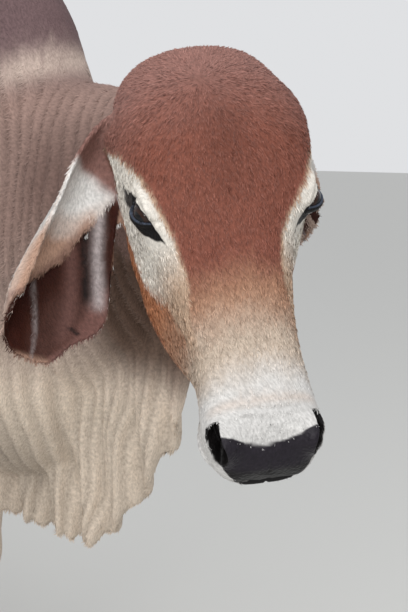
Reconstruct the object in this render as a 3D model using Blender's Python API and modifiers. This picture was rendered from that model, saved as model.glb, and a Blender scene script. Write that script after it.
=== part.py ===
"""A humped, lop-eared bull standing square, with its head lowered a little and turned to its right.

The bull looks along -Y, +X is its left side, and the floor is z = 0. All sizes are in metres.
The flesh is made whole: lofts through named sections are fused, softened and sculpted, and the
result is then parted with thin plane cuts into head, neck, torso, legs and the rest.
"""
import math
from collections import namedtuple

import bmesh
import bpy
import numpy as np
from mathutils import Matrix, Vector

# Driving sizes of the body
WITHERS_HEIGHT = 1.38
RUMP_HEIGHT = 1.37
BODY_LENGTH = 1.62
BARREL_WIDTH = 0.62
HUMP_TOP = 1.63
CUT_GAP = 0.0003

# Driving sizes of the head, from the poll to the nose
HEAD_LENGTH = 0.52
FOREHEAD_WIDTH = 0.246
MUZZLE_WIDTH = 0.146
EYE_RADIUS = 0.0205
EYE_POINTS = 18
LID_THICKNESS = 0.0055
EAR_LENGTH = 0.285
EAR_WIDTH = 0.150
EAR_THICKNESS = 0.007

# Where the head is carried
POLL = Vector((-0.235, -0.760, 1.395))
HEAD_YAW = math.radians(-37.5)
HEAD_PITCH = math.radians(49.0)
HEAD_ROLL = math.radians(-7.5)

# The middle of the ground the bull covers, which becomes the origin
MIDDLE = Vector((-0.0673, 0.2123, 0.0))

FLESH_VOXEL = 0.007
ROUGH_MARGIN = 0.006


def clear_scene():
    for old in list(bpy.data.objects):
        bpy.data.objects.remove(old, do_unlink=True)


def make_collection(name):
    made = bpy.data.collections.new(name)
    bpy.context.scene.collection.children.link(made)
    return made


def add_object(name, mesh, collection):
    made = bpy.data.objects.new(name, mesh)
    collection.objects.link(made)
    return made


def smooth_rows(rows, steps):
    """Rows of section values with `steps` new rows in each interval, on a Catmull-Rom curve."""
    rows = np.asarray(rows, float)
    padded = np.vstack([2 * rows[0] - rows[1], rows, 2 * rows[-1] - rows[-2]])
    filled = []
    for k in range(1, len(rows)):
        before, start, end, after = padded[k - 1:k + 3]
        for t in np.arange(steps) / steps:
            filled.append(0.5 * (2 * start + (end - before) * t
                                 + (2 * before - 5 * start + 4 * end - after) * t ** 2
                                 + (3 * start - before - 3 * end + after) * t ** 3))
    return np.vstack(filled + [rows[-1]])


def section(half_width, top, bottom, square_top, square_bottom, narrow, points):
    """A section's (sideways, upward) points: widest at height 0, and narrower below by `narrow`."""
    turn = (np.arange(points) + 0.5) / points * 2 * math.pi
    across, up = np.cos(turn), np.sin(turn)
    power = 2 / np.where(up > 0, square_top, square_bottom)
    x = half_width * np.sign(across) * np.abs(across) ** (2 / square_top)
    z = np.where(up > 0, top, bottom) * np.sign(up) * np.abs(up) ** power
    below = np.clip(-z / bottom, 0, 1)
    return x * (1 - narrow * below ** 1.4), z


def mesh_from_rings(name, rings):
    """A closed skin through rings of equal count, with flat ends."""
    shell = bmesh.new()
    made = [[shell.verts.new(p) for p in ring] for ring in rings]
    count = len(made[0])
    for first, second in zip(made, made[1:]):
        for k in range(count):
            after = (k + 1) % count
            shell.faces.new((first[k], first[after], second[after], second[k]))
    shell.faces.new(made[0][::-1])
    shell.faces.new(made[-1])
    bmesh.ops.recalc_face_normals(shell, faces=shell.faces)
    mesh = bpy.data.meshes.new(name)
    shell.to_mesh(mesh)
    shell.free()
    return mesh


Station = namedtuple("Station", "along middle half_width top bottom square_top square_bottom narrow")


def loft_along_y(name, stations, steps=8, points=48):
    """A loft whose sections stand square to Y. Heights are above the floor, or above the head's axis."""
    rings = []
    for along, middle, half_width, top, bottom, st, sb, narrow in smooth_rows(stations, steps):
        x, z = section(half_width, top - middle, middle - bottom, st, sb, narrow, points)
        rings.append(np.column_stack([x, np.full(points, along), z + middle]))
    return mesh_from_rings(name, rings)


PathStation = namedtuple("PathStation", "x y z half_width up down")


def loft_along_path(name, stations, steps=6, points=32, level=(0, 0, 1)):
    """A loft of ovals that stand square to the path through their middles."""
    rows = smooth_rows(stations, steps)
    tangents = np.gradient(rows[:, :3], axis=0)
    rings = []
    for row, tangent in zip(rows, tangents):
        tangent = Vector(tangent).normalized()
        side = tangent.cross(Vector(level)).normalized()
        lift = side.cross(tangent).normalized()
        turn = np.arange(points) / points * 2 * math.pi
        reach = np.where(np.sin(turn) > 0, row[4], row[5])
        rings.append(row[:3] + np.outer(row[3] * np.cos(turn), side) + np.outer(reach * np.sin(turn), lift))
    return mesh_from_rings(name, rings)


def ellipsoid(name, centre, radii, segments=24):
    ball = bmesh.new()
    bmesh.ops.create_uvsphere(ball, u_segments=segments, v_segments=segments // 2, radius=1)
    bmesh.ops.transform(ball, matrix=Matrix.Translation(centre) @ Matrix.Diagonal((*radii, 1)), verts=ball.verts)
    mesh = bpy.data.meshes.new(name)
    ball.to_mesh(mesh)
    ball.free()
    return mesh


def joined(name, meshes):
    """One mesh holding all of these closed shells, which may cross."""
    whole = bmesh.new()
    for mesh in meshes:
        whole.from_mesh(mesh)
        bpy.data.meshes.remove(mesh)
    mesh = bpy.data.meshes.new(name)
    whole.to_mesh(mesh)
    whole.free()
    return mesh


def evaluated_mesh(obj):
    graph = bpy.context.evaluated_depsgraph_get()
    return bpy.data.meshes.new_from_object(obj.evaluated_get(graph), depsgraph=graph)


def with_modifiers(mesh, *settings, weights=None):
    """The mesh after modifiers, each given as (type, values). The weights name where they act."""
    obj = add_object("temporary", mesh, bpy.context.scene.collection)
    if weights is not None:
        group = obj.vertex_groups.new(name="amount")
        levels = np.round(np.clip(weights, 0, 1) * 8).astype(int)
        for level in range(1, 9):
            group.add(np.flatnonzero(levels == level).tolist(), level / 8, "REPLACE")
    for kind, values in settings:
        modifier = obj.modifiers.new(kind.title(), kind)
        for key, value in values.items():
            setattr(modifier, key, value)
        if weights is not None:
            modifier.vertex_group = "amount"
    made = evaluated_mesh(obj)
    bpy.data.objects.remove(obj)
    bpy.data.meshes.remove(mesh)
    return made


def fused(mesh, voxel, smoothings):
    """Crossing shells made one skin, with soft joins."""
    return with_modifiers(mesh, ("REMESH", {"mode": "VOXEL", "voxel_size": voxel}),
                          ("SMOOTH", {"factor": 0.5, "iterations": smoothings}))


def points_of(mesh):
    found = np.empty(len(mesh.vertices) * 3)
    mesh.vertices.foreach_get("co", found)
    return found.reshape(-1, 3)


def normals_of(mesh):
    found = np.empty(len(mesh.vertices) * 3)
    mesh.vertices.foreach_get("normal", found)
    return found.reshape(-1, 3)


def set_points(mesh, points):
    mesh.vertices.foreach_set("co", points.astype(np.float32).ravel())
    mesh.update()


def head_matrix():
    turn = (Matrix.Rotation(HEAD_YAW, 4, "Z") @ Matrix.Rotation(HEAD_PITCH, 4, "X")
            @ Matrix.Rotation(HEAD_ROLL, 4, "Y"))
    return Matrix.Translation(POLL) @ turn


def both_sides(place):
    return [Vector((side * place[0], place[1], place[2])) for side in (-1, 1)]


def triangulated(mesh):
    shell = bmesh.new()
    shell.from_mesh(mesh)
    bmesh.ops.triangulate(shell, faces=shell.faces)
    shell.to_mesh(mesh)
    shell.free()
    return mesh


def simplified(mesh, triangles):
    """The mesh collapsed to about this many triangles."""
    triangulated(mesh)
    share = triangles / max(len(mesh.polygons), 1)
    if share >= 1:
        return mesh
    return with_modifiers(mesh, ("DECIMATE", {"ratio": share}))


def cell(planes, grow):
    """A convex block bounded by planes, each a point and an outward direction, moved out by `grow`."""
    block = bmesh.new()
    bmesh.ops.create_cube(block, size=8)
    for place, outward in planes:
        outward = Vector(outward).normalized()
        everything = block.verts[:] + block.edges[:] + block.faces[:]
        cut = bmesh.ops.bisect_plane(block, geom=everything, plane_co=Vector(place) + outward * grow,
                                     plane_no=outward, clear_outer=True)
        edges = [part for part in cut["geom_cut"] if isinstance(part, bmesh.types.BMEdge)]
        bmesh.ops.edgeloop_fill(block, edges=edges)
    bmesh.ops.triangulate(block, faces=block.faces)
    bmesh.ops.recalc_face_normals(block, faces=block.faces)
    mesh = bpy.data.meshes.new("cell")
    block.to_mesh(mesh)
    block.free()
    return mesh


def combined(first, second, operation, solver="EXACT"):
    """The first mesh after a Boolean with the second."""
    tool = add_object("tool", second, bpy.context.scene.collection)
    made = with_modifiers(first, ("BOOLEAN", {"operation": operation, "solver": solver, "object": tool}))
    bpy.data.objects.remove(tool)
    bpy.data.meshes.remove(second)
    return made


def largest_part(mesh, tiny=0.00008):
    """The biggest connected surface of a mesh, with tiny edges closed up."""
    shell = bmesh.new()
    shell.from_mesh(mesh)
    bmesh.ops.remove_doubles(shell, verts=shell.verts, dist=tiny)
    bmesh.ops.dissolve_degenerate(shell, edges=shell.edges, dist=tiny)
    bmesh.ops.triangulate(shell, faces=shell.faces)
    shell.verts.ensure_lookup_table()
    unseen = set(shell.verts)
    groups = []
    while unseen:
        front = [unseen.pop()]
        group = set(front)
        while front:
            for edge in front.pop().link_edges:
                for vert in edge.verts:
                    if vert in unseen:
                        unseen.discard(vert)
                        group.add(vert)
                        front.append(vert)
        groups.append(group)
    groups.sort(key=len, reverse=True)
    stray = [vert for group in groups[1:] for vert in group]
    bmesh.ops.delete(shell, geom=stray, context="VERTS")
    bmesh.ops.recalc_face_normals(shell, faces=shell.faces)
    shell.to_mesh(mesh)
    shell.free()
    return mesh


def grown(mesh, distance):
    """A copy of a mesh with its surface moved outward."""
    made = mesh.copy()
    set_points(made, points_of(made) + normals_of(made) * distance)
    return made


def parted(whole, planes):
    """The piece of a mesh inside a cell, and the rest, with a thin gap between their flat faces."""
    piece = combined(whole.copy(), cell(planes, -CUT_GAP / 2), "INTERSECT")
    rest = combined(whole, cell(planes, CUT_GAP / 2), "DIFFERENCE")
    return largest_part(piece), largest_part(rest)


# The torso: a deep, narrow-topped chest, a level back, wide hips and a sloping rump.

TORSO = [
    Station(-0.37, 0.99, 0.070, 1.12, 0.80, 2.0, 2.0, 0.0),
    Station(-0.30, 1.00, 0.160, 1.24, 0.72, 2.0, 2.0, 0.1),
    Station(-0.14, 1.03, 0.232, 1.36, 0.68, 2.0, 2.0, 0.2),
    Station(0.08, 1.02, 0.262, WITHERS_HEIGHT - 0.01, 0.660, 1.9, 2.1, 0.2),
    Station(0.30, 0.98, 0.292, WITHERS_HEIGHT - 0.03, 0.640, 1.9, 2.2, 0.1),
    Station(0.55, 0.97, BARREL_WIDTH / 2, WITHERS_HEIGHT - 0.045, 0.640, 2.0, 2.2, 0.05),
    Station(0.80, 1.00, 0.298, RUMP_HEIGHT - 0.03, 0.680, 2.2, 2.1, 0.05),
    Station(1.00, 1.06, 0.268, RUMP_HEIGHT, 0.750, 2.4, 2.0, 0.1),
    Station(1.16, 1.08, 0.230, RUMP_HEIGHT - 0.05, 0.800, 2.2, 2.0, 0.1),
    Station(1.28, 1.06, 0.160, RUMP_HEIGHT - 0.14, 0.860, 2.0, 2.0, 0.0),
    Station(1.33, 1.04, 0.070, RUMP_HEIGHT - 0.24, 0.930, 2.0, 2.0, 0.0),
]

# Bone and muscle that show under the hide: point of the shoulder, hook bones, pin bones, stifle.

Swelling = namedtuple("Swelling", "place radii")
BODY_SWELLINGS = [
    Swelling((0.150, -0.130, 0.950), (0.078, 0.110, 0.130)),
    Swelling((0.168, 0.030, 1.060), (0.090, 0.120, 0.240)),
    Swelling((0.190, 0.920, 1.235), (0.070, 0.080, 0.085)),
    Swelling((0.078, 1.245, 1.140), (0.070, 0.080, 0.095)),
    Swelling((0.176, 0.960, 0.840), (0.080, 0.110, 0.130)),
    Swelling((0.172, 1.070, 1.020), (0.098, 0.160, 0.200)),
]

# The hump is a tall lobe of muscle over the withers. Its front is steep and its tip leans back.

HUMP = [
    PathStation(0, -0.17, 1.16, 0.138, 0.36, 0.20),
    PathStation(0, -0.16, 1.30, 0.132, 0.35, 0.205),
    PathStation(0, -0.145, 1.41, 0.118, 0.29, 0.185),
    PathStation(0, -0.115, 1.52, 0.098, 0.215, 0.158),
    PathStation(0, -0.080, 1.600, 0.068, 0.135, 0.112),
    PathStation(0, -0.060, HUMP_TOP + 0.018, 0.022, 0.040, 0.032),
]

# The neck rises from the shoulders, bends to the right and meets the back of the skull.

NECK = [
    PathStation(0.00, 0.05, 1.03, 0.205, 0.30, 0.34),
    PathStation(0.00, -0.16, 1.09, 0.168, 0.30, 0.31),
    PathStation(-0.025, -0.36, 1.15, 0.134, 0.262, 0.26),
    PathStation(-0.085, -0.54, 1.20, 0.116, 0.188, 0.19),
    PathStation(-0.160, -0.68, 1.255, 0.104, 0.136, 0.15),
    PathStation(-0.215, -0.76, 1.280, 0.084, 0.11, 0.11),
]

# The head in its own frame: nose along -Y, forehead up, the poll at the origin.

HEAD = [
    Station(0.055, -0.100, 0.078, -0.038, -0.165, 2.2, 2.0, 0.1),
    Station(0.015, -0.080, 0.104, 0.024, -0.190, 2.3, 2.0, 0.3),
    Station(-0.030, -0.065, 0.118, 0.044, -0.210, 2.2, 2.0, 0.34),
    Station(-0.080, -0.058, 0.130, 0.053, -0.228, 2.3, 2.1, 0.26),
    Station(-0.140, -0.056, FOREHEAD_WIDTH / 2, 0.041, -0.243, 2.4, 2.5, -0.04),
    Station(-0.200, -0.056, 0.107, 0.020, -0.250, 2.4, 2.8, -0.22),
    Station(-0.260, -0.066, 0.086, -0.002, -0.242, 2.3, 2.8, -0.44),
    Station(-0.320, -0.078, 0.073, -0.020, -0.222, 2.3, 2.7, -0.42),
    Station(-0.380, -0.088, 0.066, -0.036, -0.198, 2.3, 2.2, -0.10),
    Station(-0.430, -0.098, 0.069, -0.048, -0.182, 2.4, 2.3, 0.08),
    Station(-0.470, -0.108, MUZZLE_WIDTH / 2, -0.056, -0.172, 2.6, 2.4, 0.15),
    Station(-0.500, -0.118, 0.064, -0.076, -0.162, 2.5, 2.4, 0.15),
    Station(-0.519, -0.125, 0.046, -0.098, -0.150, 2.2, 2.2, 0.1),
]
EYE_PLACE = Vector((0.0965, -0.196, -0.038))
EYE_GAZE = Vector((0.76, -0.50, 0.42))
EYE_OPENING = (0.058, 0.026)
EYE_SLANT = math.radians(5)
EAR_ROOT = Vector((0.098, -0.062, -0.072))
HEAD_SWELLINGS = [
    Swelling(EAR_ROOT, (0.036, 0.042, 0.042)),
    Swelling((0.086, -0.150, -0.155), (0.030, 0.080, 0.065)),
    Swelling((0.047, -0.482, -0.084), (0.025, 0.026, 0.024)),
    Swelling((0.040, -0.455, -0.146), (0.034, 0.045, 0.022)),
    Swelling((0.000, -0.470, -0.168), (0.036, 0.026, 0.016)),
]
NOSTRIL = [
    Swelling((0.054, -0.506, -0.078), (0.0090, 0.024, 0.0120)),
    Swelling((0.064, -0.496, -0.090), (0.0065, 0.022, 0.0130)),
]

# The head is carried a little askew: nose, cheeks and poll swing to the right of its midline.

MUZZLE_LEAN = 0.008
CHEEK_LEAN = 0.004
POLL_LEAN = 0.005
HEAD_CELL = [((0, 0.046, 0), (0, 1, -0.08)), ((0, -0.25, -0.262), (0, -0.16, -1)),
             ((-0.4, 0, 0), (-1, 0, 0)), ((0.4, 0, 0), (1, 0, 0))]
JAW_CELL = [((0, -0.50, -0.137), (0, 0.12, 1))]


def soft_step(value, start, end):
    t = np.clip((value - start) / (end - start), 0, 1)
    return t * t * (3 - 2 * t)


def leaned(mesh):
    """A mesh in the head's frame, swung sideways with the head's lean."""
    points = points_of(mesh)
    reach = -points[:, 1]
    nose = soft_step(reach, 0.17, 0.27)
    cheek = nose * (1 - soft_step(reach, 0.30, 0.42))
    points[:, 0] -= MUZZLE_LEAN * nose + CHEEK_LEAN * cheek + POLL_LEAN * np.clip(1 - reach / 0.06, 0, 1)
    set_points(mesh, points)
    return mesh


def swelling_meshes(swellings):
    meshes = []
    for swelling in swellings:
        for place in both_sides(swelling.place):
            meshes.append(ellipsoid("swelling", place, swelling.radii, 20))
    return meshes


def head_sources():
    """The head's crossing shells in the head's own frame."""
    meshes = [loft_along_y("face", HEAD)]
    for eye in both_sides(EYE_PLACE):
        reach = EYE_RADIUS + LID_THICKNESS
        orbit = eye + Vector((0, 0.004, 0))
        meshes.append(ellipsoid("orbit", orbit, (reach * 0.98, reach * 1.12, reach * 1.05)))
        inward = -1 if eye.x > 0 else 1
        brow = eye + Vector((inward * 0.004, 0.006, 0.020))
        meshes.append(ellipsoid("brow", brow, (0.023, 0.040, 0.015)))
    return meshes + swelling_meshes(HEAD_SWELLINGS)


def lid_cutter(eye):
    """An almond-shaped wedge that opens the lids in front of one eyeball, in the head's frame."""
    side = 1 if eye.x > 0 else -1
    gaze = Vector((side * EYE_GAZE.x, EYE_GAZE.y, EYE_GAZE.z)).normalized()
    along = Vector((0, -1, 0))
    along = (along - gaze * along.dot(gaze)).normalized()
    above = gaze.cross(along) if gaze.cross(along).z > 0 else along.cross(gaze)
    along, above = (along * math.cos(EYE_SLANT) + above * math.sin(EYE_SLANT),
                    above * math.cos(EYE_SLANT) - along * math.sin(EYE_SLANT))
    length, height = EYE_OPENING
    rings = []
    for distance, spread in ((0.006, 0.55), (EYE_RADIUS * 0.96, 1.0), (0.040, 1.35)):
        turn = np.arange(20) / 20 * 2 * math.pi
        across = np.cos(turn) * length / 2 * spread
        lift = np.sign(np.sin(turn)) * (1 - (np.abs(np.cos(turn))) ** 1.6) * height / 2 * spread
        lift = np.where(np.abs(np.sin(turn)) < 1e-6, 0, lift)
        ring = [eye + gaze * distance + along * a + above * b for a, b in zip(across, lift)]
        rings.append(ring)
    return mesh_from_rings("lids", rings)


# The ears hang: rows run from the root to the tip. The right one droops forward and is open to the
# front, the left one is held back. Each row is a middle, half a width, the slant of the width, the
# depth of the cup and how far the front edge rolls over.

EarRow = namedtuple("EarRow", "x y z half_width slant cup roll")
EAR_RIGHT = [
    EarRow(-0.092, -0.004, -0.066, 0.016, 66, 0.016, 0.000),
    EarRow(-0.106, 0.004, -0.084, 0.026, 66, 0.028, 0.000),
    EarRow(-0.122, 0.012, -0.108, 0.032, 62, 0.034, 0.002),
    EarRow(-0.138, 0.020, -0.142, 0.039, 54, 0.036, 0.006),
    EarRow(-0.152, 0.024, -0.180, 0.048, 40, 0.036, 0.010),
    EarRow(-0.169, 0.026, -0.222, 0.063, 27, 0.038, 0.014),
    EarRow(-0.186, 0.026, -0.262, 0.076, 15, 0.040, 0.018),
    EarRow(-0.200, 0.024, -0.298, 0.084, 6, 0.038, 0.018),
    EarRow(-0.208, 0.022, -0.330, 0.076, 2, 0.030, 0.012),
    EarRow(-0.211, 0.020, -0.354, 0.052, 0, 0.016, 0.004),
    EarRow(-0.210, 0.018, -0.371, 0.025, 0, 0.007, 0.000),
    EarRow(-0.211, 0.016, -0.381, 0.009, 0, 0.002, 0.000),
]
EAR_LEFT = [
    EarRow(0.088, -0.004, -0.064, 0.016, -66, 0.016, 0.000),
    EarRow(0.104, 0.008, -0.076, 0.026, -66, 0.028, 0.000),
    EarRow(0.126, 0.026, -0.097, 0.032, -68, 0.034, 0.002),
    EarRow(0.150, 0.052, -0.125, 0.037, -72, 0.034, 0.006),
    EarRow(0.177, 0.090, -0.153, 0.044, -72, 0.034, 0.010),
    EarRow(0.200, 0.134, -0.180, 0.050, -71, 0.034, 0.014),
    EarRow(0.222, 0.178, -0.206, 0.050, -68, 0.032, 0.012),
    EarRow(0.240, 0.216, -0.228, 0.038, -62, 0.022, 0.006),
    EarRow(0.251, 0.240, -0.242, 0.021, -58, 0.008, 0.002),
    EarRow(0.256, 0.252, -0.249, 0.008, -55, 0.002, 0.000),
]
EAR_ACROSS = 7


def ear_mesh(name, rows, side):
    """A leaf of skin and gristle, cupped along its length, in the frame of the head before it nods."""
    rows = smooth_rows(rows, 2)
    tangents = np.gradient(rows[:, :3], axis=0)
    leaf = bmesh.new()
    grid = []
    for row, tangent in zip(rows, tangents):
        x, y, z, half_width, slant, cup, roll = row
        slant = math.radians(slant)
        across = Vector((math.cos(slant), -side * 0.05, -math.sin(slant)))
        front = across.cross(Vector(tangent)).normalized()
        if front.y > 0:
            front = -front
        across = Vector(tangent).cross(front).normalized() * (1 if side < 0 else -1)
        if across.x * side > 0:
            across = -across
        line = []
        for v in np.linspace(-1, 1, EAR_ACROSS):
            edge = max(0.0, (-v - 0.45) / 0.55)
            lift = cup * (v * v - 1) + roll * edge * (1.0 - 0.35 * edge)
            shift = half_width * (v + 0.55 * edge ** 2 * min(1.0, roll / 0.018))
            line.append(leaf.verts.new(Vector((x, y, z)) + across * shift + front * lift))
        grid.append(line)
    for first, second in zip(grid, grid[1:]):
        for k in range(EAR_ACROSS - 1):
            leaf.faces.new((first[k], first[k + 1], second[k + 1], second[k]))
    bmesh.ops.recalc_face_normals(leaf, faces=leaf.faces)
    mesh = bpy.data.meshes.new(name)
    leaf.to_mesh(mesh)
    leaf.free()
    return with_modifiers(mesh, ("SOLIDIFY", {"thickness": EAR_THICKNESS, "offset": 0.0}))


# Legs. Each is a path down the limb, with half widths across (x) and along (y) the body.

LegStation = namedtuple("LegStation", "x y z half_width front back")

FORELEG = [
    LegStation(0.135, 0.010, 1.02, 0.085, 0.150, 0.150),
    LegStation(0.165, 0.020, 0.88, 0.085, 0.125, 0.140),
    LegStation(0.172, 0.025, 0.74, 0.074, 0.092, 0.100),
    LegStation(0.168, 0.012, 0.60, 0.060, 0.068, 0.068),
    LegStation(0.165, 0.000, 0.47, 0.049, 0.050, 0.048),
    LegStation(0.164, -0.008, 0.395, 0.052, 0.052, 0.046),
    LegStation(0.163, -0.004, 0.325, 0.039, 0.037, 0.038),
    LegStation(0.163, 0.000, 0.235, 0.034, 0.030, 0.037),
    LegStation(0.163, 0.002, 0.160, 0.043, 0.038, 0.043),
    LegStation(0.163, -0.010, 0.110, 0.044, 0.039, 0.040),
    LegStation(0.163, -0.026, 0.050, 0.049, 0.045, 0.045),
]
HINDLEG = [
    LegStation(0.130, 1.08, 1.12, 0.100, 0.190, 0.160),
    LegStation(0.158, 1.07, 0.98, 0.108, 0.210, 0.175),
    LegStation(0.170, 1.07, 0.84, 0.092, 0.170, 0.150),
    LegStation(0.172, 1.13, 0.70, 0.068, 0.105, 0.100),
    LegStation(0.168, 1.205, 0.58, 0.048, 0.070, 0.062),
    LegStation(0.165, 1.240, 0.500, 0.045, 0.060, 0.060),
    LegStation(0.163, 1.232, 0.420, 0.041, 0.048, 0.046),
    LegStation(0.162, 1.215, 0.310, 0.034, 0.035, 0.036),
    LegStation(0.162, 1.200, 0.210, 0.036, 0.034, 0.037),
    LegStation(0.162, 1.192, 0.155, 0.043, 0.038, 0.042),
    LegStation(0.162, 1.178, 0.108, 0.043, 0.038, 0.040),
    LegStation(0.162, 1.162, 0.050, 0.048, 0.045, 0.045),
]
Limb = namedtuple("Limb", "name stations side stride cut_high cut_low middle")
LIMBS = [
    Limb("foreleg_right", FORELEG, -1, -0.050, 0.628, 0.480, 0.00),
    Limb("foreleg_left", FORELEG, 1, 0.210, 0.628, 0.480, 0.10),
    Limb("hindleg_right", HINDLEG, -1, 0.060, 0.690, 0.570, 1.15),
    Limb("hindleg_left", HINDLEG, 1, -0.060, 0.690, 0.570, 1.08),
]
LEG_TOP = 1.02


def leg_offset(limb, z):
    """How far forward or back the stride carries the limb at this height."""
    return limb.stride * max(0.0, 1 - z / LEG_TOP) ** 0.8


def leg_rows(limb):
    return [(limb.side * st.x, st.y + leg_offset(limb, st.z), *st[2:]) for st in limb.stations]


def leg_mesh(limb, points=24):
    rings = []
    for x, y, z, half_width, front, back in smooth_rows(leg_rows(limb), 3):
        turn = np.arange(points) / points * 2 * math.pi
        reach = np.where(np.sin(turn) > 0, back, front)
        ring = np.column_stack([x + half_width * np.cos(turn), y + reach * np.sin(turn), np.full(points, z)])
        rings.append(ring)
    return mesh_from_rings(limb.name, rings)


# Each foot has two claws, each a D-shaped horn box on a flat sole, and two dewclaws behind.

CORONET_HEIGHT = 0.066
CORONET_SLOPE = 0.30
CLAW_LENGTH = 0.112
CLAW_WIDTH = 0.050
CLAW_PART = 0.0020


def foot_place(limb):
    last = limb.stations[-1]
    return Vector((limb.side * last.x, last.y + leg_offset(limb, last.z), 0))


def coronet_plane(limb):
    """A point and the upward direction of the plane where horn meets skin. It rises to the front."""
    return foot_place(limb) + Vector((0, 0, CORONET_HEIGHT)), Vector((0, CORONET_SLOPE, 1)).normalized()


def claw_mesh(limb, half):
    """One claw of a foot: `half` is -1 for the claw at smaller x."""
    foot = foot_place(limb)
    rings = []
    for t in np.linspace(0, 1, 4):
        length = CLAW_LENGTH * (1 - 0.20 * t)
        width = CLAW_WIDTH * (1 - 0.10 * t ** 2)
        middle = foot.y - 0.014 * (1 - t)
        ring = []
        for turn in np.arange(14) / 14 * 2 * math.pi:
            along, out = math.cos(turn), math.sin(turn)
            y = middle + along * length / 2
            toe = max(0.0, -along)
            wide = width * (1 - 0.42 * toe ** 2.2)
            x = CLAW_PART + (wide if out > 0 else 0.0) * abs(out) ** 0.75
            if out < 0:
                x = CLAW_PART + 0.004 * (1 - abs(out) ** 0.5)
            x += 0.005 * toe * t
            top = CORONET_HEIGHT - CORONET_SLOPE * (y - foot.y)
            ring.append((foot.x + half * x, y, t * top))
        rings.append(ring)
    return mesh_from_rings("claw", rings)


def dewclaw_meshes(limb):
    """Two small blunt knobs behind the fetlock."""
    rows = leg_rows(limb)
    x, y, z = rows[-3][:3]
    meshes = []
    for side in (-1, 1):
        place = (x + side * 0.024, y + 0.040, z - 0.022)
        meshes.append(ellipsoid("dewclaw", place, (0.015, 0.018, 0.022), 14))
    return meshes


# The dewlap: a pleated curtain of skin from the throat to between the forelegs.

DewlapStation = namedtuple("DewlapStation", "x y top edge")
DEWLAP = [
    DewlapStation(-0.140, -0.690, 1.16, 1.050),
    DewlapStation(-0.112, -0.640, 1.12, 0.890),
    DewlapStation(-0.085, -0.570, 1.08, 0.785),
    DewlapStation(-0.058, -0.480, 1.02, 0.680),
    DewlapStation(-0.035, -0.390, 0.98, 0.605),
    DewlapStation(-0.012, -0.300, 0.92, 0.592),
    DewlapStation(0.000, -0.200, 0.84, 0.598),
    DewlapStation(0.000, -0.080, 0.78, 0.606),
    DewlapStation(0.000, 0.080, 0.74, 0.650),
]
DEWLAP_HALF_THICKNESS = 0.012
PLEAT_DEPTH = 0.020
PLEAT_LENGTH = 0.082
SCALLOP = 0.006


def dewlap_mesh():
    rows = smooth_rows(DEWLAP, 16)
    levels = 16
    rings = []
    for x, y, top, edge in rows:
        drop = np.linspace(0, 1, levels)
        depth = PLEAT_DEPTH * drop ** 1.2
        place = y + 0.05 * drop * (1 - 0.3 * drop)
        wave = np.sin(2 * math.pi * place / PLEAT_LENGTH + 0.8 * np.sin(9 * place))
        middle = x + depth * wave
        thick = DEWLAP_HALF_THICKNESS * (2.4 - 1.4 * drop ** 0.7)
        thick[-1] *= 0.6
        scallop = SCALLOP * math.cos(4 * math.pi * y / PLEAT_LENGTH + 1.1)
        z = top + (edge + scallop - top) * drop
        down = np.column_stack([middle - thick, np.full(levels, y), z])
        back = np.column_stack([middle + thick, np.full(levels, y), z])
        rings.append(np.vstack([down, back[::-1]]))
    return mesh_from_rings("dewlap", rings)


# The sheath hangs from the belly as a fold of skin, and the scrotum hangs between the thighs.

SHEATH = [
    PathStation(0, 0.36, 0.655, 0.030, 0.030, 0.030),
    PathStation(0, 0.47, 0.610, 0.026, 0.050, 0.060),
    PathStation(0, 0.57, 0.580, 0.028, 0.070, 0.060),
    PathStation(0, 0.66, 0.600, 0.028, 0.070, 0.045),
    PathStation(0, 0.76, 0.660, 0.026, 0.040, 0.030),
]
SCROTUM = [
    PathStation(0, 0.985, 0.80, 0.030, 0.035, 0.035),
    PathStation(0, 0.985, 0.70, 0.036, 0.036, 0.036),
    PathStation(0, 0.980, 0.60, 0.054, 0.050, 0.050),
    PathStation(0, 0.978, 0.53, 0.055, 0.050, 0.050),
    PathStation(0, 0.978, 0.485, 0.026, 0.024, 0.024),
]

# The tail hangs from the rump and ends in a switch of long hair.

TAIL = [
    PathStation(0, 1.22, 1.235, 0.050, 0.045, 0.045),
    PathStation(0, 1.315, 1.225, 0.036, 0.034, 0.034),
    PathStation(0, 1.375, 1.15, 0.028, 0.027, 0.027),
    PathStation(0, 1.392, 1.02, 0.024, 0.023, 0.023),
    PathStation(0, 1.398, 0.85, 0.020, 0.019, 0.019),
    PathStation(0, 1.402, 0.70, 0.017, 0.016, 0.016),
    PathStation(0, 1.405, 0.58, 0.015, 0.014, 0.014),
]
SWITCH_CORE = [
    PathStation(0.000, 1.405, 0.592, 0.016, 0.016, 0.016),
    PathStation(0.000, 1.406, 0.545, 0.019, 0.018, 0.018),
    PathStation(0.001, 1.407, 0.490, 0.018, 0.017, 0.017),
    PathStation(0.002, 1.407, 0.440, 0.010, 0.010, 0.010),
    PathStation(0.002, 1.407, 0.420, 0.003, 0.003, 0.003),
]
Tier = namedtuple("Tier", "root out locks length swell first_turn")
SWITCH_TIERS = [
    Tier(0.572, 0.010, 6, 0.205, 0.020, 0.0),
    Tier(0.530, 0.012, 7, 0.240, 0.021, 0.5),
    Tier(0.470, 0.008, 6, 0.225, 0.016, 0.2),
]
LOCK_WIDTH = 0.027
LOCK_THICKNESS = 0.0065
SWITCH_TOP = 0.585
TAIL_CELL = [((0, 1.35, 1.11), (0, 0.25, 1)), ((0, 1.353, 1.0), (0, -1, 0.0))]
TAIL_END = [((0, 1.40, SWITCH_TOP + CUT_GAP), (0, 0, -1))]
SWITCH_CELL = [((0, 1.40, SWITCH_TOP), (0, 0, 1))]


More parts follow.
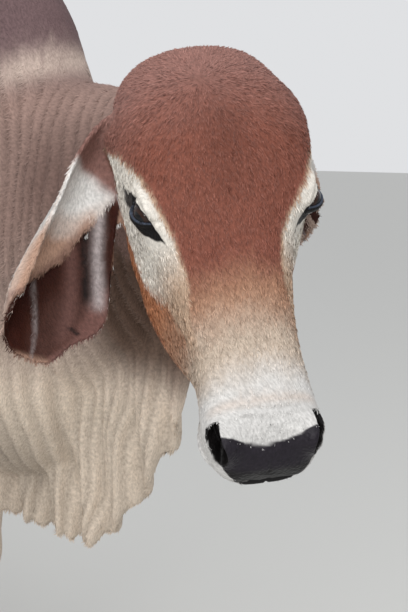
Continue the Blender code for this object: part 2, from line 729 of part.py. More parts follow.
def lock_mesh(tier, number):
    """One flat, tapered lock of the switch: it leaves the core, swells out and hangs to a point."""
    turn = 2 * math.pi * (number + tier.first_turn) / tier.locks
    length = tier.length * (1 + 0.07 * math.sin(5.1 * number + 3 * tier.first_turn))
    outward = Vector((math.cos(turn), math.sin(turn), 0))
    across = Vector((-math.sin(turn), math.cos(turn), 0))
    rings = []
    for t in (0.0, 0.2, 0.45, 0.72, 1.0):
        share = (1 - t) ** 0.75
        width = LOCK_WIDTH * share * (0.75 + 0.55 * t) + 0.0012
        thickness = LOCK_THICKNESS * share + 0.0010
        out = tier.out + tier.swell * math.sin(math.pi * min(1.15 * t, 0.93))
        middle = Vector((0.001, 1.406, tier.root - length * t)) + outward * out
        middle += across * 0.006 * math.sin(2.6 * t + number)
        rings.append([middle + across * width / 2, middle + outward * thickness / 2,
                      middle - across * width / 2, middle - outward * thickness / 2])
    return mesh_from_rings("lock", rings)


def switch_mesh():
    """The switch's short core with its tiers of overlapping locks, fused into one closed body."""
    core = loft_along_path("tail_switch", SWITCH_CORE, steps=2, points=12, level=(0, 1, 0))
    locks = make_collection("locks")
    for tier in SWITCH_TIERS:
        for number in range(tier.locks):
            add_object("lock", lock_mesh(tier, number), locks)
    made = with_modifiers(core, ("BOOLEAN", {"operation": "UNION", "operand_type": "COLLECTION",
                                             "collection": locks, "solver": "EXACT"}))
    for lock in list(locks.objects):
        bpy.data.objects.remove(lock)
    bpy.data.collections.remove(locks)
    return combined(made, cell(SWITCH_CELL, 0), "INTERSECT")


def body_sources():
    meshes = [loft_along_y("torso", TORSO)]
    meshes.append(loft_along_path("hump", HUMP, level=(0, 1, 0)))
    meshes.append(loft_along_path("neck", NECK))
    for limb in LIMBS:
        meshes.append(leg_mesh(limb))
        meshes += dewclaw_meshes(limb)
    meshes.append(dewlap_mesh())
    meshes.append(loft_along_path("sheath", SHEATH))
    meshes.append(loft_along_path("scrotum", SCROTUM, level=(0, 1, 0)))
    meshes.append(loft_along_path("tail", TAIL, level=(0, 1, 0)))
    return meshes + swelling_meshes(BODY_SWELLINGS)


# The cells the flesh is parted by, in the order in which they are cut off.

HUMP_CELL = [((0, -0.05, 1.375), (0, 0.10, -1)), ((0, -0.36, 1.40), (0, -1, -0.4))]
DEWLAP_CELL = [((0, -0.68, 1.055), (0, 0.62, 1)), ((0, -0.12, 0.70), (0, 1, -0.35)), ((0, -0.30, 0.86), (0, 0.30, 1))]
NECK_CELL = [((0, -0.17, 1.10), (0, 1, 0.25))]
SHEATH_CELL = [((0, 0.55, 0.632), (0, 0, 1)), ((0, 0.30, 0.6), (0, -1, 0)), ((0, 0.82, 0.6), (0, 1, 0)),
               ((0.09, 0, 0), (1, 0, 0)), ((-0.09, 0, 0), (-1, 0, 0))]
SCROTUM_CELL = [((0, 0.98, 0.690), (0, 0, 1)), ((0, 0.86, 0.6), (0, -1, 0)), ((0, 1.10, 0.6), (0, 1, 0)),
                ((0.075, 0, 0), (1, 0, 0)), ((-0.075, 0, 0), (-1, 0, 0))]

HEAD_TRIANGLES = 2600
HEAD_CUTTER_POINTS = 14


def in_world(planes, matrix):
    turn = matrix.to_3x3()
    return [(matrix @ Vector(place), turn @ Vector(outward)) for place, outward in planes]


def limb_cell(limb, top):
    side = limb.side
    return [((0, 0, top), (0, 0, 1)), ((side * 0.06, 0, 0), (-side, 0, 0)),
            ((0, limb.middle - 0.36, 0), (0, -1, 0)), ((0, limb.middle + 0.36, 0), (0, 1, 0))]


def carved_head(head, place):
    """Sockets, lids and nostrils cut into the head."""
    for eye in both_sides(EYE_PLACE):
        socket = ellipsoid("socket", place @ eye, [EYE_RADIUS + CUT_GAP * 1.4] * 3, EYE_POINTS)
        lids = lid_cutter(eye)
        lids.transform(place)
        head = combined(head, socket, "DIFFERENCE")
        head = combined(head, lids, "DIFFERENCE")
    for hole in NOSTRIL:
        for middle in both_sides(hole.place):
            cutter = leaned(ellipsoid("nostril", middle, hole.radii, HEAD_CUTTER_POINTS))
            cutter.transform(place)
            head = combined(head, cutter, "DIFFERENCE")
    return largest_part(head)


# Each cut of the flesh: a name, the cell it fills and the triangles it may use.

Cut = namedtuple("Cut", "name planes triangles")


def flesh_cuts(place):
    cuts = [Cut("head", in_world(HEAD_CELL, place), HEAD_TRIANGLES), Cut("tail", TAIL_CELL, 130),
            Cut("hump", HUMP_CELL, 360), Cut("dewlap", DEWLAP_CELL, 1350),
            Cut("scrotum", SCROTUM_CELL, 170), Cut("sheath", SHEATH_CELL, 190)]
    for limb in LIMBS:
        cuts.append(Cut(limb.name + "_lower", limb_cell(limb, limb.cut_low), 320))
        cuts.append(Cut(limb.name + "_upper", limb_cell(limb, limb.cut_high), 170))
    cuts.append(Cut("neck", NECK_CELL, 760))
    cuts.append(Cut("torso", None, 1700))
    return cuts


def flesh_pieces(flesh, cuts):
    """The flesh parted roughly, made simple piece by piece, then trimmed to flat faces.

    The rough cuts are made on the dense skin by MANIFOLD, which is quicker there than EXACT.
    """
    pieces = {}
    earlier = []
    for cut in cuts:
        if cut.planes is None:
            rough = flesh
        else:
            rough = combined(flesh.copy(), cell(cut.planes, ROUGH_MARGIN), "INTERSECT", "MANIFOLD")
            flesh = combined(flesh, cell(cut.planes, -ROUGH_MARGIN), "DIFFERENCE", "MANIFOLD")
        piece = simplified(largest_part(rough), cut.triangles)
        if cut.planes is not None:
            piece = combined(piece, cell(cut.planes, -CUT_GAP / 2), "INTERSECT")
        for planes in earlier:
            piece = combined(piece, cell(planes, CUT_GAP / 2), "DIFFERENCE")
        pieces[cut.name] = largest_part(piece)
        if cut.planes is not None:
            earlier.append(cut.planes)
    return pieces


def soft_places(points):
    """How far each point of the flesh may be smoothed: not the head, the dewlap or the lower legs."""
    x, y, z = points.T
    trunk = np.clip((y + 0.60) / 0.20, 0, 1) * np.clip((z - 0.56) / 0.14, 0, 1)
    curtain = np.clip((-0.02 - y) / 0.08, 0, 1) * np.clip((1.02 + 0.55 * np.minimum(y + 0.6, 0.5) * -1 - z) / 0.10, 0, 1)
    slack = np.clip((0.64 - z) / 0.05, 0, 1)
    return trunk * (1 - curtain) * (1 - slack)


# Each piece's plain colour, roughness and metallic value, by the words its name holds.

FINISHES = {
    "brown_hide": ((0.23, 0.10, 0.07), 0.70, 0.0),
    "grey_hide": ((0.26, 0.21, 0.19), 0.75, 0.0),
    "pale_hide": ((0.46, 0.40, 0.33), 0.75, 0.0),
    "eye": ((0.020, 0.012, 0.010), 0.08, 0.0),
    "horn": ((0.045, 0.036, 0.032), 0.45, 0.0),
    "dark_hair": ((0.030, 0.022, 0.020), 0.80, 0.0),
}
FINISH_WORDS = [("eye", "eye"), ("claw", "horn"), ("switch", "dark_hair"), ("head", "brown_hide"),
                ("ear", "brown_hide"), ("dewlap", "pale_hide"), ("jaw", "pale_hide"), ("leg", "pale_hide")]


def surface(name, colour, roughness, metallic):
    made = bpy.data.materials.new(name)
    made.use_nodes = True
    shader = made.node_tree.nodes["Principled BSDF"]
    shader.inputs["Base Color"].default_value = (*colour, 1)
    shader.inputs["Roughness"].default_value = roughness
    shader.inputs["Metallic"].default_value = metallic
    return made


def finish_of(name):
    for word, finish in FINISH_WORDS:
        if word in name:
            return finish
    return "grey_hide"


def main():
    clear_scene()
    parts = make_collection("humped_bull")
    place = head_matrix()
    nod = Matrix.Translation(POLL) @ Matrix.Rotation(HEAD_YAW, 4, "Z")
    skull = leaned(joined("head", head_sources()))
    skull.transform(place)
    flesh = fused(joined("flesh", [skull] + body_sources()), FLESH_VOXEL, 4)
    flesh = with_modifiers(flesh, ("SMOOTH", {"factor": 0.5, "iterations": 30}), weights=soft_places(points_of(flesh)))
    pieces = flesh_pieces(flesh, flesh_cuts(place))
    pieces["tail"] = largest_part(combined(pieces["tail"], cell(TAIL_END, 0), "INTERSECT"))
    carved = carved_head(pieces["head"], place)
    pieces["jaw"], pieces["head"] = parted(carved, in_world(JAW_CELL, place))
    for limb in LIMBS:
        point, up = coronet_plane(limb)
        lower = combined(pieces[limb.name + "_lower"], cell([(point + up * CUT_GAP, -up)], 0), "INTERSECT")
        pieces[limb.name + "_lower"] = largest_part(lower)
        pieces[limb.name + "_claw_outer"] = claw_mesh(limb, limb.side)
        pieces[limb.name + "_claw_inner"] = claw_mesh(limb, -limb.side)
    for name, rows, side in (("ear_right", EAR_RIGHT, -1), ("ear_left", EAR_LEFT, 1)):
        ear = ear_mesh(name, rows, side)
        ear.transform(nod)
        for near in ("head", "jaw", "neck"):
            ear = combined(ear, grown(pieces[near], CUT_GAP * 1.6), "DIFFERENCE")
        ear = largest_part(ear)
        pieces[name] = ear
    for name, eye in zip(("eye_right", "eye_left"), both_sides(EYE_PLACE)):
        pieces[name] = ellipsoid(name, place @ eye, [EYE_RADIUS] * 3, EYE_POINTS)
    pieces["tail_switch"] = largest_part(switch_mesh(), 0.000002)
    looks = {name: surface(name, *finish) for name, finish in FINISHES.items()}
    for name, mesh in pieces.items():
        mesh.name = name
        mesh.transform(Matrix.Translation(-MIDDLE))
        mesh.materials.append(looks[finish_of(name)])
        add_object(name, mesh, parts)


main()
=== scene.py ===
"""The looks of a humped, lop-eared bull that stands with its head lowered and turned to its right.

The bull looks along -Y, +X is its left side and the floor is z = 0, in metres. The solids come from
the frame. A skin is made from them, finely modelled, and clothed in a short coat of hair tufts.
"""

import math
from collections import namedtuple

import bmesh
import bpy
import numpy as np
from mathutils import Matrix, Vector
from mathutils.bvhtree import BVHTree


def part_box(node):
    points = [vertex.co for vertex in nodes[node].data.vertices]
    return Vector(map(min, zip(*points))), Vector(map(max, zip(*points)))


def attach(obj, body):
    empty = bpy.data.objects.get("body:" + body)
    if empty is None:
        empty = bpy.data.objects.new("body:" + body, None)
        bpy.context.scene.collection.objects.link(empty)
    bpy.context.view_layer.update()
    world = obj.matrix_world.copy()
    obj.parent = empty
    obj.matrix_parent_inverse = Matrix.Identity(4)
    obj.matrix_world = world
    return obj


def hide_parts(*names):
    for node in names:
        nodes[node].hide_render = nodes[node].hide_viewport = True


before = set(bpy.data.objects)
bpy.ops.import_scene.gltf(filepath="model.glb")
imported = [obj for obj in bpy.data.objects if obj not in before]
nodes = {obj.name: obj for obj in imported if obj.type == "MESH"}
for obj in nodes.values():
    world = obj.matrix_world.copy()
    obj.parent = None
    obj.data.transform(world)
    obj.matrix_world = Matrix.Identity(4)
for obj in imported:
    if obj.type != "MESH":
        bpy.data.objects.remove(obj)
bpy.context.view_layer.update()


# The hide: one skin from the nose to the tail, thick and loose on the neck and dewlap, thin and
# tight on the face. It is grown from the solids of the flesh, fused, softened and then modelled
# with the lids, nostrils, lips, wrinkles and folds that the solids are too coarse to hold.

HIDE_VOXEL = 0.004
COAT_DEPTH = 0.0025
HEAD_YAW = math.radians(-37.5)
HEAD_PITCH = math.radians(49.0)
HEAD_ROLL = math.radians(-7.5)
EYE_IN_HEAD = Vector((0.0965, -0.196, -0.038))
SKIN_BUDGETS = (30000, 52000, 26000, 11000)
NOT_FLESH = ("eye_", "claw", "switch")
EAR_REACH = 0.009
LEAF_REACH = 0.008
EAR_CLEARANCE = 0.014
TRUNK_SMOOTHING = 70
SKIN_SMOOTHING = 7

flesh_names = [name for name in nodes if not any(word in name for word in NOT_FLESH)]


def centre_of(name):
    low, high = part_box(name)
    return (low + high) / 2


eye_centres = {-1: centre_of("eye_right"), 1: centre_of("eye_left")}
eye_low, eye_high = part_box("eye_right")
EYE_RADIUS = (eye_high - eye_low).z / 2
head_turn = (Matrix.Rotation(HEAD_YAW, 3, "Z") @ Matrix.Rotation(HEAD_PITCH, 3, "X")
             @ Matrix.Rotation(HEAD_ROLL, 3, "Y"))
between_eyes = (eye_centres[-1] + eye_centres[1]) / 2
poll = between_eyes - head_turn @ Vector((0, EYE_IN_HEAD.y, EYE_IN_HEAD.z))
head_place = Matrix.Translation(poll) @ head_turn.to_4x4()


def in_head(points):
    """Points in the head's own frame: sideways, distance from the poll towards the nose, and height."""
    local = (points - np.array(poll)) @ np.array(head_turn)
    return local[:, 0], -local[:, 1], local[:, 2]


def step(value, start, end):
    """A smooth step from 0 at start to 1 at end."""
    t = np.clip((value - start) / (end - start), 0, 1)
    return t * t * (3 - 2 * t)


def bell(value, middle, width):
    return np.exp(-((value - middle) / width) ** 2)


def mottle(points, size, seed):
    """Soft random values from -1 to 1, in patches of about this size."""
    lattice = np.random.default_rng(seed).random((24, 24, 24)) * 2 - 1
    place = points / size + 1000.0
    base = np.floor(place).astype(int)
    t = place - base
    t = t * t * (3 - 2 * t)
    total = np.zeros(len(points))
    for corner in range(8):
        shift = np.array([corner & 1, corner >> 1 & 1, corner >> 2 & 1])
        share = np.prod(np.where(shift == 1, t, 1 - t), axis=1)
        x, y, z = ((base + shift) % 24).T
        total += share * lattice[x, y, z]
    return total


def values_of(mesh, layer):
    found = np.empty(len(mesh.vertices) * 3, np.float32)
    mesh.vertices.foreach_get(layer, found)
    return found.reshape(-1, 3).astype(float)


def set_points(mesh, points):
    mesh.vertices.foreach_set("co", points.astype(np.float32).ravel())
    mesh.update()


def worked(mesh, *settings, amount=None):
    """The mesh after modifiers, each given as (type, values), acting by the amount from 0 to 1."""
    piece = bpy.data.objects.new("working", mesh)
    bpy.context.scene.collection.objects.link(piece)
    if amount is not None:
        piece.vertex_groups.clear()
        group = piece.vertex_groups.new(name="amount")
        levels = np.round(np.clip(amount, 0, 1) * 10).astype(int)
        for level in range(11):
            group.add(np.flatnonzero(levels == level).tolist(), level / 10, "REPLACE")
    for kind, values in settings:
        modifier = piece.modifiers.new(kind.title(), kind)
        for key, value in values.items():
            setattr(modifier, key, value)
        if amount is not None:
            modifier.vertex_group = "amount"
    graph = bpy.context.evaluated_depsgraph_get()
    made = bpy.data.meshes.new_from_object(piece.evaluated_get(graph), depsgraph=graph)
    bpy.data.objects.remove(piece)
    bpy.data.meshes.remove(mesh)
    return made


def ball(form, matrix, radii, points=20):
    """Adds a closed ellipsoid to a bmesh."""
    made = bmesh.ops.create_uvsphere(form, u_segments=points, v_segments=points // 2, radius=1)
    bmesh.ops.transform(form, matrix=matrix @ Matrix.Diagonal((*radii, 1)), verts=made["verts"])


MUZZLE_LEAN = 0.008
CHEEK_LEAN = 0.004
NOSTRIL_PLUG = (0.050, -0.494, -0.086)
NOSTRIL_PLUG_RADII = (0.017, 0.017, 0.024)


def lean_at(s):
    """How far the face leans to the animal's right, at a distance from the poll."""
    nose = step(s, 0.17, 0.27)
    return MUZZLE_LEAN * nose + CHEEK_LEAN * nose * (1 - step(s, 0.30, 0.42))


def flesh_mesh():
    """Copies of the flesh nodes as crossing shells, with the sockets and nostrils filled for now."""
    form = bmesh.new()
    for name in flesh_names:
        form.from_mesh(nodes[name].data)
    bmesh.ops.remove_doubles(form, verts=form.verts, dist=1e-6)
    for centre in eye_centres.values():
        ball(form, Matrix.Translation(centre), [EYE_RADIUS + 0.002] * 3)
    x, y, z = NOSTRIL_PLUG
    for side in (-1, 1):
        ball(form, head_place @ Matrix.Translation((side * x - MUZZLE_LEAN, y, z)), NOSTRIL_PLUG_RADII)
    mesh = bpy.data.meshes.new("hide")
    form.to_mesh(mesh)
    form.free()
    mesh.materials.clear()
    return mesh


ear_trees = {}
for side, ear in ((-1, "ear_right"), (1, "ear_left")):
    shape = nodes[ear].data
    ear_trees[side] = BVHTree.FromPolygons([v.co for v in shape.vertices],
                                           [list(face.vertices) for face in shape.polygons])


def near_ear(points, side, reach):
    """1 on the ear of this side and 0 beyond the reach from it."""
    low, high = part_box("ear_right" if side < 0 else "ear_left")
    margin = np.array([reach] * 3)
    inside = np.all((points > np.array(low) - margin) & (points < np.array(high) + margin), axis=1)
    amount = np.zeros(len(points))
    for index in np.flatnonzero(inside):
        distance = ear_trees[side].find_nearest(Vector(points[index]), reach)[3]
        if distance is not None:
            amount[index] = 1 - distance / reach
    return amount


def head_share(points):
    """1 on the head, 0 on the neck and body, with a soft border."""
    s, z = in_head(points)[1:]
    return step(s, -0.055, -0.015) * step(z + 0.16 * (s - 0.25), -0.285, -0.250)


def trunk_share(points):
    """1 on the broad surfaces of the trunk, neck and hump, where the solids' facets are smoothed away."""
    y, z = points.T[1:]
    legs = step(z, 0.62, 0.78)
    curtain = step(-y, 0.28, 0.36) * step(1.06 - 0.5 * np.clip(-y - 0.8, -0.5, 0.2) - z, 0.0, 0.1)
    tail = step(y, 1.13, 1.16)
    return legs * (1 - curtain) * (1 - tail) * (1 - head_share(points))


def on_ears(points, reach=EAR_REACH):
    return np.maximum(near_ear(points, -1, reach), near_ear(points, 1, reach)) > 0


def region_of(points):
    """0 on the body and legs, 1 on the neck, dewlap and hump, 2 on the head and 3 on the ears."""
    region = np.where(points[:, 1] < -0.22, 1, 0)
    region[head_share(points) > 0.5] = 2
    region[on_ears(points)] = 3
    return region


def triangles_of(mesh):
    mesh.calc_loop_triangles()
    corners = np.empty(len(mesh.loop_triangles) * 3, np.int32)
    mesh.loop_triangles.foreach_get("vertices", corners)
    return corners.reshape(-1, 3)


hide = worked(flesh_mesh(), ("REMESH", {"mode": "VOXEL", "voxel_size": HIDE_VOXEL}))
points = values_of(hide, "co")
ears = on_ears(points)
hide = worked(hide, ("SMOOTH", {"factor": 0.5, "iterations": TRUNK_SMOOTHING}),
              amount=trunk_share(points) * ~ears)
hide = worked(hide, ("SMOOTH", {"factor": 0.5, "iterations": SKIN_SMOOTHING}),
              amount=np.where(ears, 0.35, 1.0))

# The loose skin: close upright folds round the neck, pleats in the hanging curtain of the dewlap,
# and shallow folds behind the shoulder.

FOLD_LENGTH = 0.024
FOLD_HEIGHT = 0.0085
PLEAT_LENGTH = 0.027
PLEAT_HEIGHT = 0.0060
GIRTH_LENGTH = 0.040
GIRTH_HEIGHT = 0.0022


def neck_path(points):
    """How far a place is along the neck from the poll, and a share that is 1 on the neck's sides."""
    y, z = points.T[1:]
    along = (y + 0.95) * 0.80 - (z - 1.20) * 0.42 + 0.10 * np.sin(4.0 * (z - 1.1))
    share = (step(y, -0.93, -0.86) * step(-y, 0.34, 0.50) * step(z, 0.86, 1.00) * step(1.47 - z, 0.0, 0.10)
             * (1 - head_share(points)))
    return along, share


def neck_fold(points):
    """Where a place lies across the folds of the neck, from 0 in a crease to 1 on a ridge."""
    along, share = neck_path(points)
    warp = 0.016 * mottle(points, 0.10, 3) + 0.004 * mottle(points, 0.035, 4)
    fold = 0.5 + 0.5 * np.sin(2 * math.pi * (along + warp) / FOLD_LENGTH)
    return fold, share * (0.62 + 0.38 * mottle(points, 0.12, 5))


def curtain_pleat(points):
    """The same for the upright pleats of the dewlap."""
    y, z = points.T[1:]
    share = step(-y, 0.28, 0.40) * step(1.10 - 0.55 * (y + 0.35) - z, 0.0, 0.14) * step(z, 0.52, 0.60)
    wave = np.sin(2 * math.pi * (y + 0.16 * (z - 0.8) + 0.014 * mottle(points, 0.10, 6)) / PLEAT_LENGTH)
    return 0.5 + 0.5 * wave, share * (1 - head_share(points))


def sculpt_folds(points, normals):
    """The loose skin's folds on neck, dewlap and behind the shoulder, inside the solids by the coat."""
    y, z = points.T[1:]
    fold, strength = neck_fold(points)
    out = FOLD_HEIGHT * (fold ** 0.7 - 0.6) * strength
    pleat, curtain = curtain_pleat(points)
    out += PLEAT_HEIGHT * (pleat ** 0.8 - 0.5) * curtain
    girth = step(-y, -0.10, 0.02) * step(y, -0.42, -0.30) * step(z, 0.80, 0.95) * (1 - strength)
    along = y + 0.25 * z + 0.02 * mottle(points, 0.12, 8)
    out += GIRTH_HEIGHT * np.sin(2 * math.pi * along / GIRTH_LENGTH) * girth
    swell = mottle(points, 0.14, 9) * 0.0030 + mottle(points, 0.055, 10) * 0.0012
    out += swell * (1 - head_share(points)) * step(z, 0.25, 0.6)
    out -= COAT_DEPTH * np.where(on_ears(points), 0.25, 1.0)
    return points + normals * out[:, None]


hide.update()
set_points(hide, sculpt_folds(values_of(hide, "co"), values_of(hide, "normal")))
hide = worked(hide, ("TRIANGULATE", {}))
# Decimate compares squared distances with a fixed small value, so it works on the hide in millimetres.
set_points(hide, values_of(hide, "co") * 1000)
for number, budget in enumerate(SKIN_BUDGETS):
    here = region_of(values_of(hide, "co") / 1000) == number
    corners = triangles_of(hide)
    spare = here[corners].all(axis=1).sum() - budget
    hide = worked(hide, ("DECIMATE", {"ratio": 1 - max(spare, 0) / len(corners)}), amount=here)
set_points(hide, values_of(hide, "co") / 1000)


def refined(mesh, chosen):
    """Splits every edge whose two ends are both chosen."""
    form = bmesh.new()
    form.from_mesh(mesh)
    form.verts.ensure_lookup_table()
    edges = [edge for edge in form.edges if chosen[edge.verts[0].index] and chosen[edge.verts[1].index]]
    bmesh.ops.subdivide_edges(form, edges=edges, cuts=1, use_grid_fill=True, smooth=0.0)
    bmesh.ops.triangulate(form, faces=form.faces)
    form.to_mesh(mesh)
    form.free()
    return mesh


def eye_frame(side):
    """The eye's middle and its directions: towards the inner corner, up across the lids, and the gaze."""
    gaze = Vector((side * 0.76, -0.50, 0.42)).normalized()
    along = Vector((0, -1, 0))
    along = (along - gaze * along.dot(gaze)).normalized()
    above = gaze.cross(along)
    if above.z < 0:
        above = -above
    slant = math.radians(5)
    along, above = (along * math.cos(slant) + above * math.sin(slant),
                    above * math.cos(slant) - along * math.sin(slant))
    return eye_centres[side], head_turn @ along, head_turn @ above, head_turn @ gaze


def in_eye(points, side):
    centre, along, above, gaze = eye_frame(side)
    local = points - np.array(centre)
    return local @ np.array(along), local @ np.array(above), local @ np.array(gaze)


def eyes_and_nose(points):
    """True round the eyes and on the nose, where the skin's faces are split."""
    near = (in_head(points)[1] > 0.435) & (head_share(points) > 0)
    for centre in eye_centres.values():
        near |= np.linalg.norm(points - np.array(centre), axis=1) < 0.055
    return near


def lids_and_nostrils(points):
    """True on the lids and round the nostrils, where they are split again."""
    x, s, z = in_head(points)
    near = (s > 0.480) & (np.abs(z + 0.10) < 0.06) & (np.abs(x) > 0.036) & (np.abs(x) < 0.074)
    for side in (-1, 1):
        a, b, g = in_eye(points, side)
        near |= (a > -0.036) & (a < 0.044) & (np.abs(b) < 0.022) & (g > 0)
    return near


hide = refined(hide, near_ear(values_of(hide, "co"), -1, EAR_REACH) > 0)
for zone in (eyes_and_nose, lids_and_nostrils):
    hide = refined(hide, zone(values_of(hide, "co")))


# The lids: a narrow slanting almond with a thick wet rim, and creases in the skin under it. The
# lids hug the eyeball.

LIDS_MIDDLE = (-0.009, 0.0010)
LIDS_TILT = math.radians(14)
LIDS_HALF_LENGTH = 0.026
LIDS_HALF_HEIGHT = 0.0068
LID_RIM = 0.0034
LidCrease = namedtuple("LidCrease", "place depth width")
LID_CREASES = (LidCrease(-0.0055, 0.0010, 0.0012), LidCrease(-0.0085, 0.0014, 0.0013),
               LidCrease(-0.0125, 0.0010, 0.0016))


def along_lids(a, b):
    """Places in the directions of the narrow opening between the lids, from its middle."""
    a = a - LIDS_MIDDLE[0]
    b = b - LIDS_MIDDLE[1]
    return (a * math.cos(LIDS_TILT) + b * math.sin(LIDS_TILT),
            b * math.cos(LIDS_TILT) - a * math.sin(LIDS_TILT))


def lid_opening(a, b):
    """How far inside the almond between the lids a place is, in metres. It is negative outside."""
    t, r = along_lids(a, b)
    height = LIDS_HALF_HEIGHT * np.maximum(1 - np.abs(t / LIDS_HALF_LENGTH) ** 2.2, 0)
    return np.minimum(height - np.abs(r), LIDS_HALF_LENGTH - np.abs(t))


def sculpt_eye(points, side):
    """Lids that hug the eyeball, a rim to each, and the creases above and below."""
    centre, _, _, gaze = eye_frame(side)
    a, b, g = in_eye(points, side)
    away = points - np.array(centre)
    distance = np.linalg.norm(away, axis=1)
    outward = away / np.maximum(distance, 1e-6)[:, None]
    inside = lid_opening(a, b)
    t, r = along_lids(a, b)
    facing = (g > 0.0) & (distance < 0.07)
    hug = step(-inside, 0.014, 0.002) * facing
    rim = EYE_RADIUS + LID_RIM + 0.0040 * bell(inside, -0.010, 0.007) * step(-r, 0.0, 0.004)
    radius = distance + (rim - distance) * hug * 0.9
    opened = step(inside, -0.0002, 0.0008) * facing
    radius = radius + (EYE_RADIUS - 0.005 - radius) * opened
    moved = np.array(centre) + outward * radius[:, None]
    points = np.where(facing[:, None], moved, points)
    wrinkle = 0.0022 * bell(inside, -0.0125, 0.0045) * step(r, 0.0, 0.006)
    on_lids = step(-r, 0.001, 0.004) + 0.5 * step(r, 0.001, 0.004)
    for crease in LID_CREASES:
        wrinkle -= crease.depth * bell(inside, crease.place, crease.width) * on_lids
    reach = step(np.abs(t), 0.050, 0.022) * facing
    return points + np.array(gaze) * (wrinkle * reach)[:, None]


points = values_of(hide, "co")
for side in (-1, 1):
    points = sculpt_eye(points, side)
set_points(hide, points)


# The nose: a bare dark pad between two comma-shaped nostrils, wrinkles above it and the line of
# the mouth below. The muzzle leans a little to the animal's right.

NOSTRIL_OUT = 0.0595
NOSTRIL_HEIGHT = -0.082
NOSTRIL_HALF_WIDTH = 0.0098
NOSTRIL_HALF_HEIGHT = 0.0185
NOSTRIL_DEPTH = 0.028
PAD_TOP = 0.4960
PAD_BORDER = np.array([(0.066, 0.0610), (0.075, 0.0655), (0.098, 0.0565), (0.113, 0.0485),
                       (0.121, 0.0420), (0.140, 0.0320)])
NOSE_WRINKLES = ((0.452, 0.0012), (0.463, 0.0016), (0.473, 0.0010))


def nose_places(points):
    """Sideways from the leaning muzzle's middle, the distance towards the nose, and height."""
    x, s, z = in_head(points)
    return x + lean_at(s), s, z


def nostril_depth(points, side):
    """How far inside a nostril's comma a place is, from 0 outside to 1 well inside."""
    x, s, z = nose_places(points)
    rise = z - NOSTRIL_HEIGHT
    across = side * x - NOSTRIL_OUT - 0.25 * np.minimum(rise, 0)
    width = NOSTRIL_HALF_WIDTH - 0.16 * np.clip(-rise, 0, 0.04)
    inside = 1 - np.hypot(across / np.maximum(width, 0.0025), rise / NOSTRIL_HALF_HEIGHT)
    return step(inside, 0.0, 0.4) * step(s, 0.466, 0.474) * (side * x > 0)


def pad_share(points):
    """1 on the bare nose pad between and below the nostrils, 0 on the haired muzzle."""
    x, s, z = nose_places(points)
    wide = np.abs(x)
    top = PAD_TOP - 0.007 * (wide / 0.05) ** 2 + 0.003 * bell(x, -0.004, 0.009)
    top += 0.0008 * mottle(points, 0.005, 14)
    above = step(s, top - 0.0014, top + 0.0014)
    border = np.interp(-z, PAD_BORDER[:, 0], PAD_BORDER[:, 1]) + 0.0014 * mottle(points, 0.006, 15)
    side = step(border - wide, -0.0014, 0.0014)
    under = step(z, -0.147, -0.141)
    return above * side * under


def mouth_line(points):
    """How near a place is to the line between the lips, from 0 to 1."""
    s, z = nose_places(points)[1:]
    height = -0.137 + 0.12 * (s - 0.50) - 0.02 * step(s, 0.45, 0.36)
    return bell(z, height, 0.0030) * step(s, 0.385, 0.405)


def sculpt_nose(points, normals):
    x, s, z = nose_places(points)
    out = 0.0012 * pad_share(points)
    lip = bell(s, 0.497, 0.004) * step(0.052 - np.abs(x), 0.0, 0.01) * step(z, -0.12, -0.09)
    out -= 0.0006 * lip
    for place, depth in NOSE_WRINKLES:
        bent = place - 0.10 * x ** 2 / 0.05 + 0.002 * np.sin(90 * x)
        out -= depth * bell(s, bent, 0.0022) * step(z, -0.085, -0.065) * step(np.abs(x), 0.05, 0.03)
    out -= 0.0060 * mouth_line(points) * head_share(points)
    groove = bell(x, 0.0, 0.0020) * step(s, 0.50, 0.508) * step(-z, 0.088, 0.100)
    out -= 0.0018 * groove
    moved = points + normals * out[:, None]
    inward = np.array(head_turn @ Vector((0, 0.94, -0.10)))
    for side in (-1, 1):
        depth = nostril_depth(points, side)
        sideways = np.array(head_turn @ Vector((-side * 0.30, 0, 0)))
        away = np.hypot(side * x - NOSTRIL_OUT, z - NOSTRIL_HEIGHT)
        wing = step(away, 0.030, 0.012) * step(s, 0.46, 0.48)
        moved += normals * (0.0020 * wing * (1 - depth))[:, None]
        moved += (inward + sideways) * (NOSTRIL_DEPTH * depth)[:, None]
    return moved


hide.update()
points = values_of(hide, "co")
nostril_walls = np.maximum(nostril_depth(points, -1), nostril_depth(points, 1))
set_points(hide, sculpt_nose(points, values_of(hide, "normal")))


# The ears: long hanging leaves. The front edge of each is rolled over, and ridges run along the
# inside of its cup.

EarFrame = namedtuple("EarFrame", "middle long broad thin start end steps low high")
LEAST_HALF_WIDTH = 0.004


def ear_axes(side):
    """The ear's middle, its long, broad and thin directions, and its two edges, from its points."""
    cloud = np.array([v.co for v in nodes["ear_right" if side < 0 else "ear_left"].data.vertices])
    middle = cloud.mean(0)
    long, broad, thin = np.linalg.svd(cloud - middle, full_matrices=False)[2]
    away = middle - np.array(between_eyes)
    long = long * np.sign(long @ away)
    broad = broad * np.sign(broad @ (np.array(head_place @ Vector((0, -0.20, -0.10))) - middle))
    thin = thin * np.sign(thin @ np.array(head_turn @ Vector((0, -0.5, 1.0))))
    along = (cloud - middle) @ long
    start, end = along.min(), along.max()
    edges = np.linspace(start, end, 13)
    low, high = [], []
    for first, second in zip(edges, edges[1:]):
        held = cloud[(along >= first) & (along <= second)]
        spread = (held - middle) @ broad
        low.append(spread.min())
        high.append(spread.max())
    steps = (edges[1:] + edges[:-1]) / 2
    return EarFrame(middle, long, broad, thin, start, end, steps, np.array(low), np.array(high))


EARS = {side: ear_axes(side) for side in (-1, 1)}


